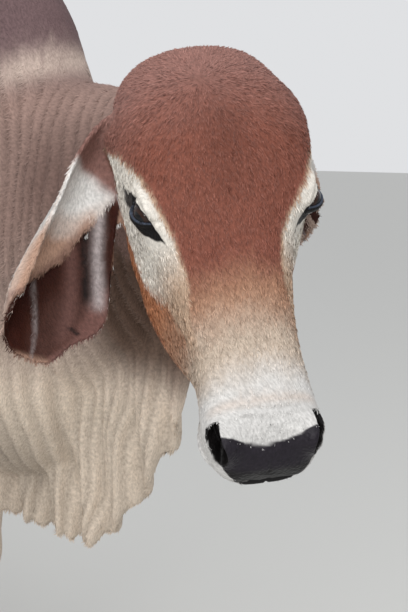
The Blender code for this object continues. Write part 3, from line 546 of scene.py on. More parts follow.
def ear_places(points, side):
    """On an ear: 0 at the root to 1 at the tip, and from -1 at its outer edge to 1 at its inner edge."""
    ear = EARS[side]
    along = (points - ear.middle) @ ear.long
    across = (points - ear.middle) @ ear.broad
    least = np.interp(along, ear.steps, ear.low)
    most = np.interp(along, ear.steps, ear.high)
    half = np.maximum((most - least) / 2, LEAST_HALF_WIDTH)
    return (along - ear.start) / (ear.end - ear.start), (across - (least + most) / 2) / half


ROLLED_RIM = np.array([(0.30, 0.80), (0.37, 0.56), (0.46, 0.27), (0.58, -0.03), (0.66, -0.36),
                       (0.77, -0.89), (0.84, -0.97)])
EarLine = namedtuple("EarLine", "start end start_across end_across width")
FRONT_RIDGE = EarLine(0.70, 0.98, -0.52, 0.05, 0.045)
MIDDLE_RIDGE = EarLine(0.50, 0.88, 0.05, 0.42, 0.16)
DEEP_GROOVE = EarLine(0.42, 0.72, 0.26, 0.53, 0.085)
INNER_RIDGE = EarLine(0.36, 0.72, 0.50, 0.74, 0.12)


def on_line(length, across, line):
    """How near places on an ear are to one of its ridges or grooves."""
    t = (length - line.start) / (line.end - line.start)
    middle = line.start_across + (line.end_across - line.start_across) * np.clip(t, 0, 1)
    return bell(across, middle, line.width) * step(t, -0.12, 0.08) * step(-t, -1.12, -0.92)


def sculpt_ear(points, normals, side):
    """The rolled front rim of the ear and the ridges inside its cup."""
    on_ear = np.flatnonzero(near_ear(points, side, EAR_REACH) > 0)
    length, across = ear_places(points[on_ear], side)
    inner = step(normals[on_ear] @ EARS[side].thin, 0.05, 0.45) * step(length, 0.26, 0.40)
    rim = np.interp(length, ROLLED_RIM[:, 0], ROLLED_RIM[:, 1])
    inside = rim - across
    rolled = step(inside, -0.05, 0.05)
    out = 0.0030 * rolled * step(inside, 0.9, 0.1)
    out -= 0.0032 * (1 - rolled) * step(inside, -0.5, -0.05)
    out += 0.0016 * on_line(length, across, FRONT_RIDGE) + 0.0018 * on_line(length, across, MIDDLE_RIDGE)
    out += 0.0032 * on_line(length, across, INNER_RIDGE) - 0.0022 * on_line(length, across, DEEP_GROOVE)
    points[on_ear] += normals[on_ear] * (out * inner)[:, None]
    return points


hide.update()
points = values_of(hide, "co")
normals = values_of(hide, "normal")
for side in (-1, 1):
    points = sculpt_ear(points, normals, side)
set_points(hide, points)
for face in hide.polygons:
    face.use_smooth = True


# The markings: red-brown forehead, white goggles and muzzle, fawn cheeks, a greyish neck and hump,
# a cream dewlap and belly. Skin and coat take their colours from the same function. The edges are
# places down the face, each with the angle round it from the top to the side, in degrees.

RED_BROWN = np.array([0.194, 0.066, 0.044])
POLL_PAINTED_SHEEN = np.array([0.272, 0.142, 0.120])
FAWN = np.array([0.335, 0.182, 0.114])
CREAM = np.array([0.462, 0.375, 0.298])
WHITE = np.array([0.548, 0.535, 0.518])
GOGGLE = np.array([0.640, 0.600, 0.540])
GOGGLE_BEIGE = np.array([0.442, 0.310, 0.218])
CHEEK_ORANGE = np.array([0.365, 0.152, 0.074])
DARK_BROWN = np.array([0.130, 0.058, 0.038])
GREY_FAWN = np.array([0.310, 0.225, 0.190])
MAUVE = np.array([0.205, 0.125, 0.105])
HUMP_GREY = np.array([0.137, 0.087, 0.089])
PALE_FAWN = np.array([0.440, 0.350, 0.300])
DEWLAP_CREAM = np.array([0.570, 0.480, 0.390])
THROAT_PAINTED_SHADOW = np.array([0.088, 0.047, 0.030])
BLACK_SKIN = np.array([0.006, 0.005, 0.005])
PAD_PURPLE = np.array([0.015, 0.012, 0.017])
RIM_PAINTED_REFLECTION = np.array([0.085, 0.105, 0.150])

BROW_EDGE = np.array([(0.050, 76.0), (0.073, 65.8), (0.100, 56.2), (0.125, 50.0), (0.148, 45.8),
                      (0.173, 42.4), (0.194, 39.5), (0.227, 35.8), (0.250, 33.6), (0.290, 33.6),
                      (0.310, 36.0), (0.340, 44.0)])
CHEEK_EDGE = np.array([(0.060, 66.0), (0.100, 73.0), (0.117, 77.0), (0.135, 90.0), (0.150, 98.0),
                       (0.190, 96.0), (0.229, 93.0), (0.260, 86.0), (0.290, 71.0), (0.320, 64.0),
                       (0.350, 59.0)])


def round_face(x, z):
    """The angle from the top of the face round to its side, in degrees."""
    return np.degrees(np.arctan2(np.abs(x), z + 0.12))


def laid(base, over, share):
    return base + (over - base) * share[:, None]


def plain(colour, points):
    """The same colour at every point."""
    return np.tile(colour, (len(points), 1))


def body_colour(points):
    y, z = points.T[1:]
    cloud = mottle(points, 0.16, 21)
    fine = mottle(points, 0.05, 22)
    tone = laid(plain(GREY_FAWN, points), PALE_FAWN, step(y, -0.2, 0.6) * 0.8)
    neck = step(-y, 0.25, 0.50)
    tone = laid(tone, MAUVE, neck * step(z + 0.05 * cloud, 1.00, 1.20) * 0.65)
    fold, strength = neck_fold(points)
    # Painted shade darkens the creases between the neck's folds.
    tone = tone * (1 - 0.34 * strength * (1 - fold) ** 2)[:, None]
    hump = step(z + 0.03 * cloud, 1.36, 1.46) * step(-y, -0.12, -0.02)
    tone = laid(tone, HUMP_GREY, hump)
    foot = bell(z + 0.30 * (y + 0.54), 1.430, 0.026) * step(-y, 0.40, 0.50)
    tone = laid(tone, PALE_FAWN * 1.15, foot * 0.9)
    low = step(1.06 + 0.03 * cloud - z, 0.0, 0.22) * neck
    tone = laid(tone, DEWLAP_CREAM, low)
    belly = step(0.80 + 0.04 * cloud - z, 0.0, 0.16)
    tone = laid(tone, DEWLAP_CREAM, belly * 0.85)
    # A darker mauve band across the middle of the neck, near the ear's base, is painted shade over the
    # neck's own mauve.
    nape = neck * bell(z, 1.245, 0.075) * step(-y, 0.50, 0.60)
    tone = laid(tone, MAUVE * 0.66, nape * 0.75)
    # A dark brown patch on the throat under the jaw is painted shadow of the lowered head, over the
    # throat's own darker brown.
    jaw_shadow = step(-y, 0.66, 0.74) * step(z, 0.90, 0.98) * step(1.22 - z, 0.0, 0.08)
    tone = laid(tone, THROAT_PAINTED_SHADOW, jaw_shadow * 0.85)
    # Painted light brightens the top of the dewlap near z 0.90 and painted shade darkens the brisket; the
    # upper neck is also lighter in a narrow band near z 1.36.
    tone = tone * (1 + 0.20 * neck * bell(z, 0.90, 0.05) - 0.34 * bell(y, -0.44, 0.06) * bell(z, 0.74, 0.09)
                   + 0.22 * neck * bell(z, 1.36, 0.035))[:, None]
    pleat, curtain = curtain_pleat(points)
    # Painted shade darkens the creases between the dewlap's pleats.
    tone = tone * (1 - 0.22 * curtain * (1 - pleat) ** 2)[:, None]
    feet = step(z, 0.16, 0.08)
    tone = laid(tone, MAUVE * 0.6, feet * 0.6)
    return tone * (1 + 0.08 * cloud + 0.05 * fine)[:, None]


def head_colour(points):
    x, s, z = nose_places(points)
    cloud = mottle(points, 0.030, 31)
    fine = mottle(points, 0.008, 32)
    far = s + 0.010 * cloud + 0.004 * fine
    # Lighter brown towards the poll is a painted sheen of the sky on the top of the head.
    tone = laid(plain(RED_BROWN, points), POLL_PAINTED_SHEEN, step(far, 0.16, 0.02) * 0.8)
    tone = tone * (1 - 0.22 * bell(x, 0, 0.035) * bell(s, 0.15, 0.07))[:, None]
    tone = laid(tone, FAWN, step(far, 0.275, 0.335))
    tone = laid(tone, CREAM, step(far, 0.318, 0.388))
    tone = laid(tone, WHITE, step(far, 0.388, 0.450))
    turn = round_face(x, z)
    brow = np.interp(s, BROW_EDGE[:, 0], BROW_EDGE[:, 1]) + 0.8 * cloud + 0.6 * fine
    cheek = np.interp(s, CHEEK_EDGE[:, 0], CHEEK_EDGE[:, 1]) + 3.0 * cloud + fine
    side_tone = laid(plain(DARK_BROWN * 1.25, points), CHEEK_ORANGE, step(s, 0.10, 0.16))
    side_tone = laid(side_tone, FAWN, step(s, 0.27, 0.33))
    side_tone = laid(side_tone, MAUVE, step(turn, 118, 128) * step(s, 0.36, 0.20))
    side_tone = laid(side_tone, CREAM, step(far, 0.330, 0.385))
    side_tone = laid(side_tone, WHITE, step(far, 0.390, 0.450))
    goggle = laid(plain(GOGGLE, points), GOGGLE_BEIGE, step(s, 0.235, 0.31))
    goggle = goggle * (1 + 0.06 * cloud + 0.05 * fine)[:, None]
    tone = laid(tone, GOGGLE_BEIGE, step(turn - brow, -2.6, 0.4) * step(s, 0.36, 0.30))
    strength = step(s, 0.052, 0.075) * step(s, 0.40, 0.33)
    under = laid(goggle, side_tone, np.maximum(step(turn - cheek, -1.0, 5.0), 1 - strength))
    tone = laid(tone, under, step(turn - brow, 0.0, 1.6))
    spots = step(mottle(points, 0.016, 35), 0.30, 0.60) * bell(s, 0.30, 0.035) * bell(turn, 76, 10)
    tone = laid(tone, DARK_BROWN, spots * 0.6)
    whorl = bell(np.hypot(x + 0.018, s - 0.066), 0, 0.004) * (z > 0)
    tone = laid(tone, DARK_BROWN * 0.5, whorl * 0.8)
    crease = bell(s, 0.452, 0.006) * step(z, -0.09, -0.06)
    tone = laid(tone, CREAM * np.array([1.12, 1.0, 0.95]), crease * 0.35)
    return tone * (1 + 0.05 * fine + 0.04 * cloud)[:, None]


# The borders of the dark skin above and below the eye, in the directions of the eye's own frame
DARK_LIDS_ABOVE = np.array([(-0.056, -0.018), (-0.045, -0.009), (-0.030, 0.0020), (-0.012, 0.0105),
                            (0.003, 0.0115), (0.013, 0.0100), (0.028, 0.0095), (0.048, 0.0080)])
DARK_LIDS_BELOW = np.array([(-0.056, -0.022), (-0.048, -0.032), (-0.036, -0.034), (-0.020, -0.0280),
                            (0.000, -0.0240), (0.015, -0.0195), (0.030, -0.0070), (0.048, 0.0080)])


def bare_shares(points):
    """Shares of the bare dark skin round the eyes and nostrils, and of the nose pad."""
    dark = np.zeros(len(points))
    for side in (-1, 1):
        a, b, g = in_eye(points, side)
        near = (g > -0.028) & (np.hypot(a, b) < 0.07)
        rough = 0.0020 * mottle(points, 0.006, 41)
        above = np.interp(a, DARK_LIDS_ABOVE[:, 0], DARK_LIDS_ABOVE[:, 1]) - b
        below = b - np.interp(a, DARK_LIDS_BELOW[:, 0], DARK_LIDS_BELOW[:, 1]) + rough
        patch = step(above + 0.3 * rough, -0.0004, 0.0006) * step(below, -0.0010, 0.0018)
        lid = step(lid_opening(a, b), -0.0026, -0.0016)
        dark = np.maximum(dark, np.maximum(lid, patch) * near)
        dark = np.maximum(dark, step(nostril_depth(points, side), 0.0, 0.06))
    return dark, pad_share(points)


EAR_STALK = np.array([0.240, 0.125, 0.105])
EAR_DEEP = np.array([0.032, 0.007, 0.003])
EAR_BROWN = np.array([0.058, 0.024, 0.018])
EAR_RIDGE = np.array([0.135, 0.066, 0.056])
EAR_PINK = np.array([0.385, 0.335, 0.330])
RIM_FAWN = np.array([0.440, 0.275, 0.200])


def ear_colour(points, normals, side):
    length, across = ear_places(points, side)
    inner = step(normals @ EARS[side].thin, -0.10, 0.25)
    cloud = mottle(points, 0.025, 51)
    fine = mottle(points, 0.006, 52)
    far = length + 0.04 * cloud
    outside = laid(plain(EAR_STALK, points), WHITE * 0.92, step(far, 0.22, 0.32))
    outside = laid(outside, RIM_FAWN, step(far, 0.60, 0.90) * 0.7)
    rim = np.interp(length, ROLLED_RIM[:, 0], ROLLED_RIM[:, 1]) + 0.03 * cloud
    rolled = step(rim - across, -0.02, 0.04)
    fawn = step(far + 0.10 * np.maximum(across, -0.4), 0.36, 0.50)
    roll = laid(plain(WHITE * 1.3, points), RIM_FAWN, fawn)
    roll = laid(roll, WHITE * 1.1, bell(across, -0.72, 0.07) * step(far, 0.70, 0.45) * 0.7)
    roll = laid(roll, PALE_FAWN * 1.2, step(-across, 0.88, 0.96) * 0.6)
    roll = laid(roll, EAR_RIDGE, bell(rim - across, 0.10, 0.09) * step(far, 0.40, 0.50) * 0.6)
    brown = step(across + 0.1 * cloud, -0.45, 0.10) * step(far, 0.62, 0.78)
    cup = laid(plain(EAR_DEEP, points), EAR_BROWN, brown)
    cup = laid(cup, EAR_RIDGE, np.clip(on_line(length, across, MIDDLE_RIDGE), 0, 1) * 0.75)
    cup = laid(cup, EAR_RIDGE * 1.25, step(across, 0.48, 0.70) * step(far, 0.62, 0.72) * 0.8)
    cup = laid(cup, EAR_PINK * 0.75, on_line(length, across, FRONT_RIDGE) * 0.6)
    cup = laid(cup, EAR_PINK, on_line(length, across, INNER_RIDGE) * 0.95)
    # Near-black along the deep groove is painted shade in the hollow.
    cup = laid(cup, BLACK_SKIN, on_line(length, across, DEEP_GROOVE) * 0.85)
    # A black blot in the cup near the tip.
    black_blot = step(bell(length, 0.845, 0.018) * bell(across, 0.56, 0.16) + 0.45 * fine, 0.62, 0.85)
    cup = laid(cup, BLACK_SKIN, black_blot * 0.8)
    cup = laid(cup, RIM_FAWN, np.maximum(step(length, 0.955, 0.985), step(across, 0.93, 0.99)) * 0.7)
    face = laid(cup, roll, rolled)
    face = laid(plain(EAR_STALK, points), face, step(far - 0.05 * across, 0.24, 0.31))
    return laid(outside, face, inner) * (1 + 0.06 * cloud + 0.06 * fine)[:, None]


def hide_colour(points, normals):
    """The colour of hair and skin at places on the hide."""
    tone = laid(body_colour(points), head_colour(points), head_share(points))
    for side in (-1, 1):
        on_ear = step(near_ear(points, side, LEAF_REACH), 0.0, 0.3)
        chosen = np.flatnonzero(on_ear > 0)
        leaf = ear_colour(points[chosen], normals[chosen], side)
        tone[chosen] = laid(tone[chosen], leaf, on_ear[chosen])
    return np.clip(tone, 0.004, 0.95)


def add_colours(mesh, name, colours):
    layer = mesh.color_attributes.new(name, "FLOAT_COLOR", "POINT")
    values = np.column_stack([colours, np.ones(len(colours))]).astype(np.float32)
    layer.data.foreach_set("color", values.ravel())


def add_values(mesh, name, values):
    layer = mesh.attributes.new(name, "FLOAT", "POINT")
    layer.data.foreach_set("value", values.astype(np.float32))


def add_piece(name, mesh):
    made = bpy.data.objects.new(name, mesh)
    bpy.context.scene.collection.objects.link(made)
    return made


hide.update()
points = values_of(hide, "co")
normals = values_of(hide, "normal")
colours = hide_colour(points, normals)
dark, pad = bare_shares(points)
dark = np.maximum(dark, step(nostril_walls, 0.0, 0.05))
colours = laid(colours, PAD_PURPLE, pad)
colours = laid(colours, BLACK_SKIN, np.maximum(dark, pad * step(-in_head(points)[2], 0.098, 0.112) * 0.9))
# A bluish line along each lower lid's rim is a painted reflection of the sky on the wet skin.
for side in (-1, 1):
    a, b, g = in_eye(points, side)
    rim = bell(lid_opening(a, b), -0.0012, 0.0008) * step(-along_lids(a, b)[1], 0.0, 0.002)
    colours = laid(colours, RIM_PAINTED_REFLECTION, rim * (g > 0) * (np.hypot(a, b) < 0.05) * 0.8)
add_colours(hide, "markings", colours)
add_values(hide, "pad", pad)
add_values(hide, "bare", np.maximum(dark, pad))


class Nodes:
    """A short way to add and link the nodes of a material."""

    def __init__(self, tree):
        self.tree = tree

    def add(self, kind, **values):
        made = self.tree.nodes.new(kind)
        for key, value in values.items():
            setattr(made, key, value)
        return made

    def put(self, node, **inputs):
        for key, value in inputs.items():
            socket = node.inputs[key.replace("_", " ")]
            if isinstance(value, bpy.types.NodeSocket):
                self.tree.links.new(value, socket)
            else:
                socket.default_value = value
        return node


def new_material(name):
    made = bpy.data.materials.new(name)
    made.use_nodes = True
    work = Nodes(made.node_tree)
    return made, work, made.node_tree.nodes["Principled BSDF"]


def toned(work, colour, value, low, high):
    """A colour made darker and lighter by a noise value, between two factors."""
    tone = work.add("ShaderNodeMapRange")
    work.put(tone, Value=value, From_Min=0.3, From_Max=0.7, To_Min=low, To_Max=high)
    shaded = work.add("ShaderNodeMix", data_type="RGBA", blend_type="MULTIPLY")
    shaded.inputs["Factor"].default_value = 1.0
    work.tree.links.new(colour, shaded.inputs["A"])
    work.tree.links.new(tone.outputs["Result"], shaded.inputs["B"])
    return shaded.outputs["Result"]


def grain_group():
    """A shared effect: pores and short hairs as a height, from the object's own coordinates."""
    group = bpy.data.node_groups.new("hide_grain", "ShaderNodeTree")
    group.interface.new_socket("Pore Scale", in_out="INPUT", socket_type="NodeSocketFloat")
    group.interface.new_socket("Hair Scale", in_out="INPUT", socket_type="NodeSocketFloat")
    group.interface.new_socket("Height", in_out="OUTPUT", socket_type="NodeSocketFloat")
    group.interface.new_socket("Tone", in_out="OUTPUT", socket_type="NodeSocketFloat")
    work = Nodes(group)
    start = work.add("NodeGroupInput")
    end = work.add("NodeGroupOutput")
    place = work.add("ShaderNodeTexCoord")
    pores = work.add("ShaderNodeTexVoronoi")
    work.put(pores, Vector=place.outputs["Object"], Scale=start.outputs["Pore Scale"])
    mapping = work.add("ShaderNodeMapping")
    mapping.inputs["Scale"].default_value = (1.0, 0.25, 0.35)
    work.put(mapping, Vector=place.outputs["Object"])
    hairs = work.add("ShaderNodeTexNoise")
    hairs.inputs["Detail"].default_value = 4
    work.put(hairs, Vector=mapping.outputs["Vector"], Scale=start.outputs["Hair Scale"])
    total = work.add("ShaderNodeMath", operation="MULTIPLY_ADD")
    total.inputs[1].default_value = 0.4
    work.tree.links.new(pores.outputs["Distance"], total.inputs[0])
    work.tree.links.new(hairs.outputs["Fac"], total.inputs[2])
    work.tree.links.new(total.outputs["Value"], end.inputs["Height"])
    work.tree.links.new(hairs.outputs["Fac"], end.inputs["Tone"])
    return group


grain = grain_group()


def hide_material():
    made, work, shader = new_material("hide_skin")
    colour = work.add("ShaderNodeAttribute", attribute_name="markings")
    bare = work.add("ShaderNodeAttribute", attribute_name="bare")
    wet = work.add("ShaderNodeAttribute", attribute_name="pad")
    texture = work.add("ShaderNodeGroup", node_tree=grain)
    texture.inputs["Pore Scale"].default_value = 420
    texture.inputs["Hair Scale"].default_value = 520
    work.put(shader, Base_Color=toned(work, colour.outputs["Color"], texture.outputs["Tone"], 0.72, 1.12))
    rough = work.add("ShaderNodeMapRange")
    work.put(rough, Value=bare.outputs["Fac"], To_Min=0.72, To_Max=0.42)
    work.put(shader, Roughness=rough.outputs["Result"])
    pebbles = work.add("ShaderNodeTexVoronoi", feature="SMOOTH_F1")
    place = work.add("ShaderNodeTexCoord")
    work.put(pebbles, Vector=place.outputs["Object"], Scale=260.0)
    relief = work.add("ShaderNodeMix", data_type="FLOAT")
    work.tree.links.new(wet.outputs["Fac"], relief.inputs["Factor"])
    work.tree.links.new(texture.outputs["Height"], relief.inputs["A"])
    work.tree.links.new(pebbles.outputs["Distance"], relief.inputs["B"])
    bump = work.add("ShaderNodeBump")
    bump.inputs["Strength"].default_value = 0.8
    bump.inputs["Distance"].default_value = 0.0016
    work.tree.links.new(relief.outputs["Result"], bump.inputs["Height"])
    work.tree.links.new(bump.outputs["Normal"], shader.inputs["Normal"])
    shader.inputs["Specular IOR Level"].default_value = 0.13
    damp = work.add("ShaderNodeMath", operation="MULTIPLY")
    damp.inputs[1].default_value = 0.08
    work.tree.links.new(wet.outputs["Fac"], damp.inputs[0])
    work.tree.links.new(damp.outputs["Value"], shader.inputs["Coat Weight"])
    shader.inputs["Coat Roughness"].default_value = 0.35
    return made


hide.materials.append(hide_material())
skin = add_piece("hide_skin", hide)
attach(skin, "root")
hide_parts(*flesh_names)


# The eyes: dark brown balls with a long level pupil, wet and glossy, set deep under the brows.

CORNEA_RADIUS = 0.0150
CORNEA_RISE = 0.0012


def eyeball_mesh(side):
    centre, along, above, gaze = eye_frame(side)
    form = bmesh.new()
    bmesh.ops.create_uvsphere(form, u_segments=64, v_segments=40, radius=EYE_RADIUS)
    turn = Matrix((along, above, gaze)).transposed()
    for vert in form.verts:
        wide = math.hypot(vert.co.x, vert.co.y)
        if vert.co.z > 0 and wide < CORNEA_RADIUS:
            vert.co *= 1 + CORNEA_RISE / EYE_RADIUS * (1 - (wide / CORNEA_RADIUS) ** 2)
    mapped = form.loops.layers.uv.new("iris")
    for face in form.faces:
        face.smooth = True
        for loop in face.loops:
            reach = 4 * EYE_RADIUS if loop.vert.co.z < 0 else 2 * EYE_RADIUS
            loop[mapped].uv = (loop.vert.co.x / reach + 0.5, loop.vert.co.y / reach + 0.5)
    bmesh.ops.transform(form, matrix=Matrix.Translation(centre) @ turn.to_4x4(), verts=form.verts)
    mesh = bpy.data.meshes.new("eyeball")
    form.to_mesh(mesh)
    form.free()
    return mesh


def eye_material():
    made, work, shader = new_material("eyeball")
    place = work.add("ShaderNodeUVMap", uv_map="iris")
    mapping = work.add("ShaderNodeMapping")
    mapping.inputs["Location"].default_value = (-1.0, -1.0, 0)
    mapping.inputs["Scale"].default_value = (2, 2, 1)
    work.put(mapping, Vector=place.outputs["UV"])
    far = work.add("ShaderNodeVectorMath", operation="LENGTH")
    work.tree.links.new(mapping.outputs["Vector"], far.inputs[0])
    iris = work.add("ShaderNodeValToRGB")
    iris.color_ramp.elements[0].position = 0.10
    iris.color_ramp.elements[0].color = (0.040, 0.014, 0.006, 1)
    iris.color_ramp.elements[1].position = 0.88
    iris.color_ramp.elements[1].color = (0.12, 0.09, 0.08, 1)
    # The dark bluish ring at 0.74 is a painted reflection of the sky round the iris.
    for position, colour in ((0.62, (0.022, 0.008, 0.004, 1)), (0.74, (0.012, 0.014, 0.022, 1)),
                             (0.80, (0.06, 0.05, 0.05, 1))):
        iris.color_ramp.elements.new(position).color = colour
    work.tree.links.new(far.outputs["Value"], iris.inputs["Fac"])
    squash = work.add("ShaderNodeMapping")
    squash.inputs["Scale"].default_value = (1.0, 2.1, 1.0)
    work.put(squash, Vector=mapping.outputs["Vector"])
    long = work.add("ShaderNodeVectorMath", operation="LENGTH")
    work.tree.links.new(squash.outputs["Vector"], long.inputs[0])
    pupil = work.add("ShaderNodeMapRange")
    work.put(pupil, Value=long.outputs["Value"], From_Min=0.40, From_Max=0.47, To_Min=0.0, To_Max=1.0)
    rays = work.add("ShaderNodeTexNoise")
    rays.inputs["Scale"].default_value = 24
    work.put(rays, Vector=mapping.outputs["Vector"])
    mixed = work.add("ShaderNodeMix", data_type="RGBA")
    mixed.inputs["A"].default_value = (0.003, 0.003, 0.004, 1)
    work.tree.links.new(pupil.outputs["Result"], mixed.inputs["Factor"])
    tinted = work.add("ShaderNodeMix", data_type="RGBA", blend_type="MULTIPLY")
    tinted.inputs["Factor"].default_value = 0.5
    work.tree.links.new(iris.outputs["Color"], tinted.inputs["A"])
    work.tree.links.new(rays.outputs["Color"], tinted.inputs["B"])
    work.tree.links.new(tinted.outputs["Result"], mixed.inputs["B"])
    work.put(shader, Base_Color=mixed.outputs["Result"])
    shader.inputs["Roughness"].default_value = 0.05
    shader.inputs["Specular IOR Level"].default_value = 0.30
    return made


eye_finish = eye_material()
for side, name in ((-1, "eye_right"), (1, "eye_left")):
    mesh = eyeball_mesh(side)
    mesh.materials.append(eye_finish)
    piece = add_piece(name + "_wet", mesh)
    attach(piece, "root")
    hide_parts(name)


# The coat: short, sleek hair over the whole hide. It springs from a whorl on the poll, runs down
# the face and back over the neck, and lies close along the body and down the legs.

WHORL = Vector((-0.018, -0.066, 0.050))
HAIR_SINK = 0.0012


def lie_of_coat(points, normals):
    """The direction in which the hair at each place points, along the surface."""
    y, z = points.T[1:]
    s = in_head(points)[1]
    whorl = np.array(head_place @ WHORL)
    away = points - whorl
    away /= np.maximum(np.linalg.norm(away, axis=1), 1e-5)[:, None]
    down_nose = np.array(head_turn @ Vector((0, -1, 0)))
    share = step(s, 0.10, 0.26)
    face = away * (1 - 0.75 * share)[:, None] + down_nose * share[:, None]
    head = head_share(points)
    ones = np.ones(len(points))
    back = np.column_stack([0 * ones, ones, -0.45 * ones])
    down = np.column_stack([0 * ones, 0.25 * ones, -ones])
    legs = np.maximum(step(z, 0.80, 0.62), step(y, 1.0, 1.12))
    curtain = step(-y, 0.25, 0.40) * step(z, 1.05, 0.85)
    hump = step(z, 1.36, 1.46) * step(-y, -0.15, -0.05)
    drop = np.clip(legs + curtain + 0.6 * hump, 0, 1)[:, None]
    body = back * (1 - drop) + down * drop
    flow = body * (1 - head)[:, None] + face * head[:, None]
    for side in (-1, 1):
        on_ear = near_ear(points, side, LEAF_REACH) > 0
        across = ear_places(points[on_ear], side)[1]
        flow[on_ear] = EARS[side].long + EARS[side].broad * (0.5 * across)[:, None]
    flow = flow - normals * np.sum(flow * normals, axis=1)[:, None]
    return flow / np.maximum(np.linalg.norm(flow, axis=1), 1e-5)[:, None]


corners = triangles_of(hide)
first, second, third = (points[corners[:, k]] for k in range(3))
face_areas = np.linalg.norm(np.cross(second - first, third - first), axis=1) / 2
face_middles = (first + second + third) / 3
vertex_shares = {
    "ear": on_ears(points, LEAF_REACH),
    "near_ears": on_ears(points, EAR_CLEARANCE),
    "head": head_share(points),
    "bare": np.maximum(dark, pad),
}
face_shares = {key: share[corners].mean(axis=1) for key, share in vertex_shares.items()}


def scattered(count, weights, seed):
    """Random places on the hide: points and normals."""
    draw = np.random.default_rng(seed)
    chance = face_areas * weights
    chosen = draw.choice(len(corners), size=count, p=chance / chance.sum())
    a, b = draw.random((2, count))
    flip = a + b > 1
    a, b = np.where(flip, 1 - a, a), np.where(flip, 1 - b, b)
    shares = np.column_stack([1 - a - b, a, b])
    place = np.einsum("nk,nkc->nc", shares, points[corners[chosen]])
    lean = np.einsum("nk,nkc->nc", shares, normals[corners[chosen]])
    lean /= np.linalg.norm(lean, axis=1)[:, None]
    return place, lean


def coat_unwrap(place):
    """A tuft root's place on an unwrap of the hide's own shape: round the body or head, and along it."""
    u, s, h = in_head(place)
    head = head_share(place) > 0.5
    x, y, z = place.T
    round_head = np.arctan2(u, h + 0.08) / (2 * math.pi) + 0.5
    round_body = np.arctan2(x, z - 0.75) / (2 * math.pi) + 0.5
    along_head = 0.02 + 0.46 * np.clip((s + 0.06) / 0.60, 0, 1)
    along_body = 0.52 + 0.46 * np.clip((y + 1.1) / 2.4, 0, 1)
    return np.where(head, round_head, round_body), np.where(head, along_head, along_body)


BAKE_PATCH = 0.003
TUFT_SHADE = np.array([0.80, 0.80, 0.98, 0.98, 1.16])
SWITCH_BROWN = np.array([0.035, 0.026, 0.022])


def mesh_of(name, vertices, loops, corners):
    """A smooth mesh of many small things: its points, and its faces' point numbers, so many for each."""
    mesh = bpy.data.meshes.new(name)
    faces = len(loops) // corners
    mesh.vertices.add(len(vertices))
    mesh.vertices.foreach_set("co", vertices.astype(np.float32).ravel())
    mesh.loops.add(len(loops))
    mesh.loops.foreach_set("vertex_index", loops.astype(np.int32))
    mesh.polygons.add(faces)
    mesh.polygons.foreach_set("loop_start", np.arange(0, len(loops), corners, dtype=np.int32))
    mesh.polygons.foreach_set("use_smooth", np.ones(faces, bool))
    mesh.update(calc_edges=True)
    return mesh


def tuft_mesh(coat, place, lean, flow, lengths, widths, colours):
    """Flat tapered tufts, each of three triangles from a sunk root to a pointed tip."""
    draw = np.random.default_rng(coat.seed + 200)
    count = len(place)
    stray = draw.normal(0, coat.stray, count)[:, None]
    sideways = np.cross(lean, flow)
    flow = flow + sideways * stray
    flow /= np.linalg.norm(flow, axis=1)[:, None]
    sideways = np.cross(lean, flow)
    roll = draw.normal(0, 0.45, count)[:, None]
    broad = sideways * np.cos(roll) + lean * np.sin(roll)
    lift = (coat.lift * (0.6 + 0.8 * draw.random(count)))[:, None]
    reach = lengths[:, None]
    root = place - lean * HAIR_SINK
    bend = root + (flow * np.cos(lift) + lean * np.sin(lift)) * reach * 0.5
    tip = bend + (flow * np.cos(lift * 0.35) + lean * np.sin(lift * 0.35)) * reach * 0.5
    half = widths[:, None] / 2
    vertices = np.stack([root - broad * half, root + broad * half, bend - broad * half * 0.85,
                         bend + broad * half * 0.85, tip], axis=1).reshape(-1, 3)
    pattern = np.array([0, 1, 3, 0, 3, 2, 2, 3, 4])
    loops = (np.arange(count)[:, None] * 5 + pattern).ravel()
    mesh = mesh_of(coat.name, vertices, loops, 3)
    own = (1 - coat.contrast + 2 * coat.contrast * draw.random(count))[:, None]
    tints = np.clip(colours[:, None, :] * (own * TUFT_SHADE)[:, :, None], 0, 1).reshape(-1, 3)
    add_colours(mesh, "markings", tints)
    u, v = coat_unwrap(place)
    spots = np.array([(0, 0), (1, 0), (0, 0.5), (1, 0.5), (0.5, 1)])[pattern] * BAKE_PATCH
    layer = mesh.uv_layers.new(name="OFBake")
    mapped = np.stack([u[:, None] + spots[:, 0], v[:, None] + spots[:, 1]], axis=2)
    layer.data.foreach_set("uv", mapped.astype(np.float32).ravel())
    return mesh


def coat_material():
    made, work, shader = new_material("coat_hair")
    colour = work.add("ShaderNodeAttribute", attribute_name="markings")
    place = work.add("ShaderNodeTexCoord")
    streaks = work.add("ShaderNodeTexNoise")
    work.put(streaks, Vector=place.outputs["Object"], Scale=900.0)
    work.put(shader, Base_Color=toned(work, colour.outputs["Color"], streaks.outputs["Fac"], 0.86, 1.12))
    shader.inputs["Roughness"].default_value = 0.55
    shader.inputs["Specular IOR Level"].default_value = 0.22
    return made


coat_finish = coat_material()

Coat = namedtuple("Coat", "name slot count length width lift stray contrast seed")
COATS = [
    Coat("coat_face", "brown_hide", 64000, 0.0090, 0.0015, 0.30, 0.28, 0.28, 61),
    Coat("coat_ears", "brown_hide", 26000, 0.0080, 0.0014, 0.16, 0.20, 0.12, 62),
    Coat("coat_neck", "grey_hide", 64000, 0.0110, 0.0018, 0.09, 0.14, 0.09, 63),
    Coat("coat_dewlap", "pale_hide", 56000, 0.0120, 0.0018, 0.10, 0.14, 0.09, 64),
    Coat("coat_trunk", "grey_hide", 64000, 0.0200, 0.0032, 0.08, 0.14, 0.08, 65),
    Coat("coat_legs", "pale_hide", 60000, 0.0140, 0.0022, 0.10, 0.14, 0.09, 66),
]


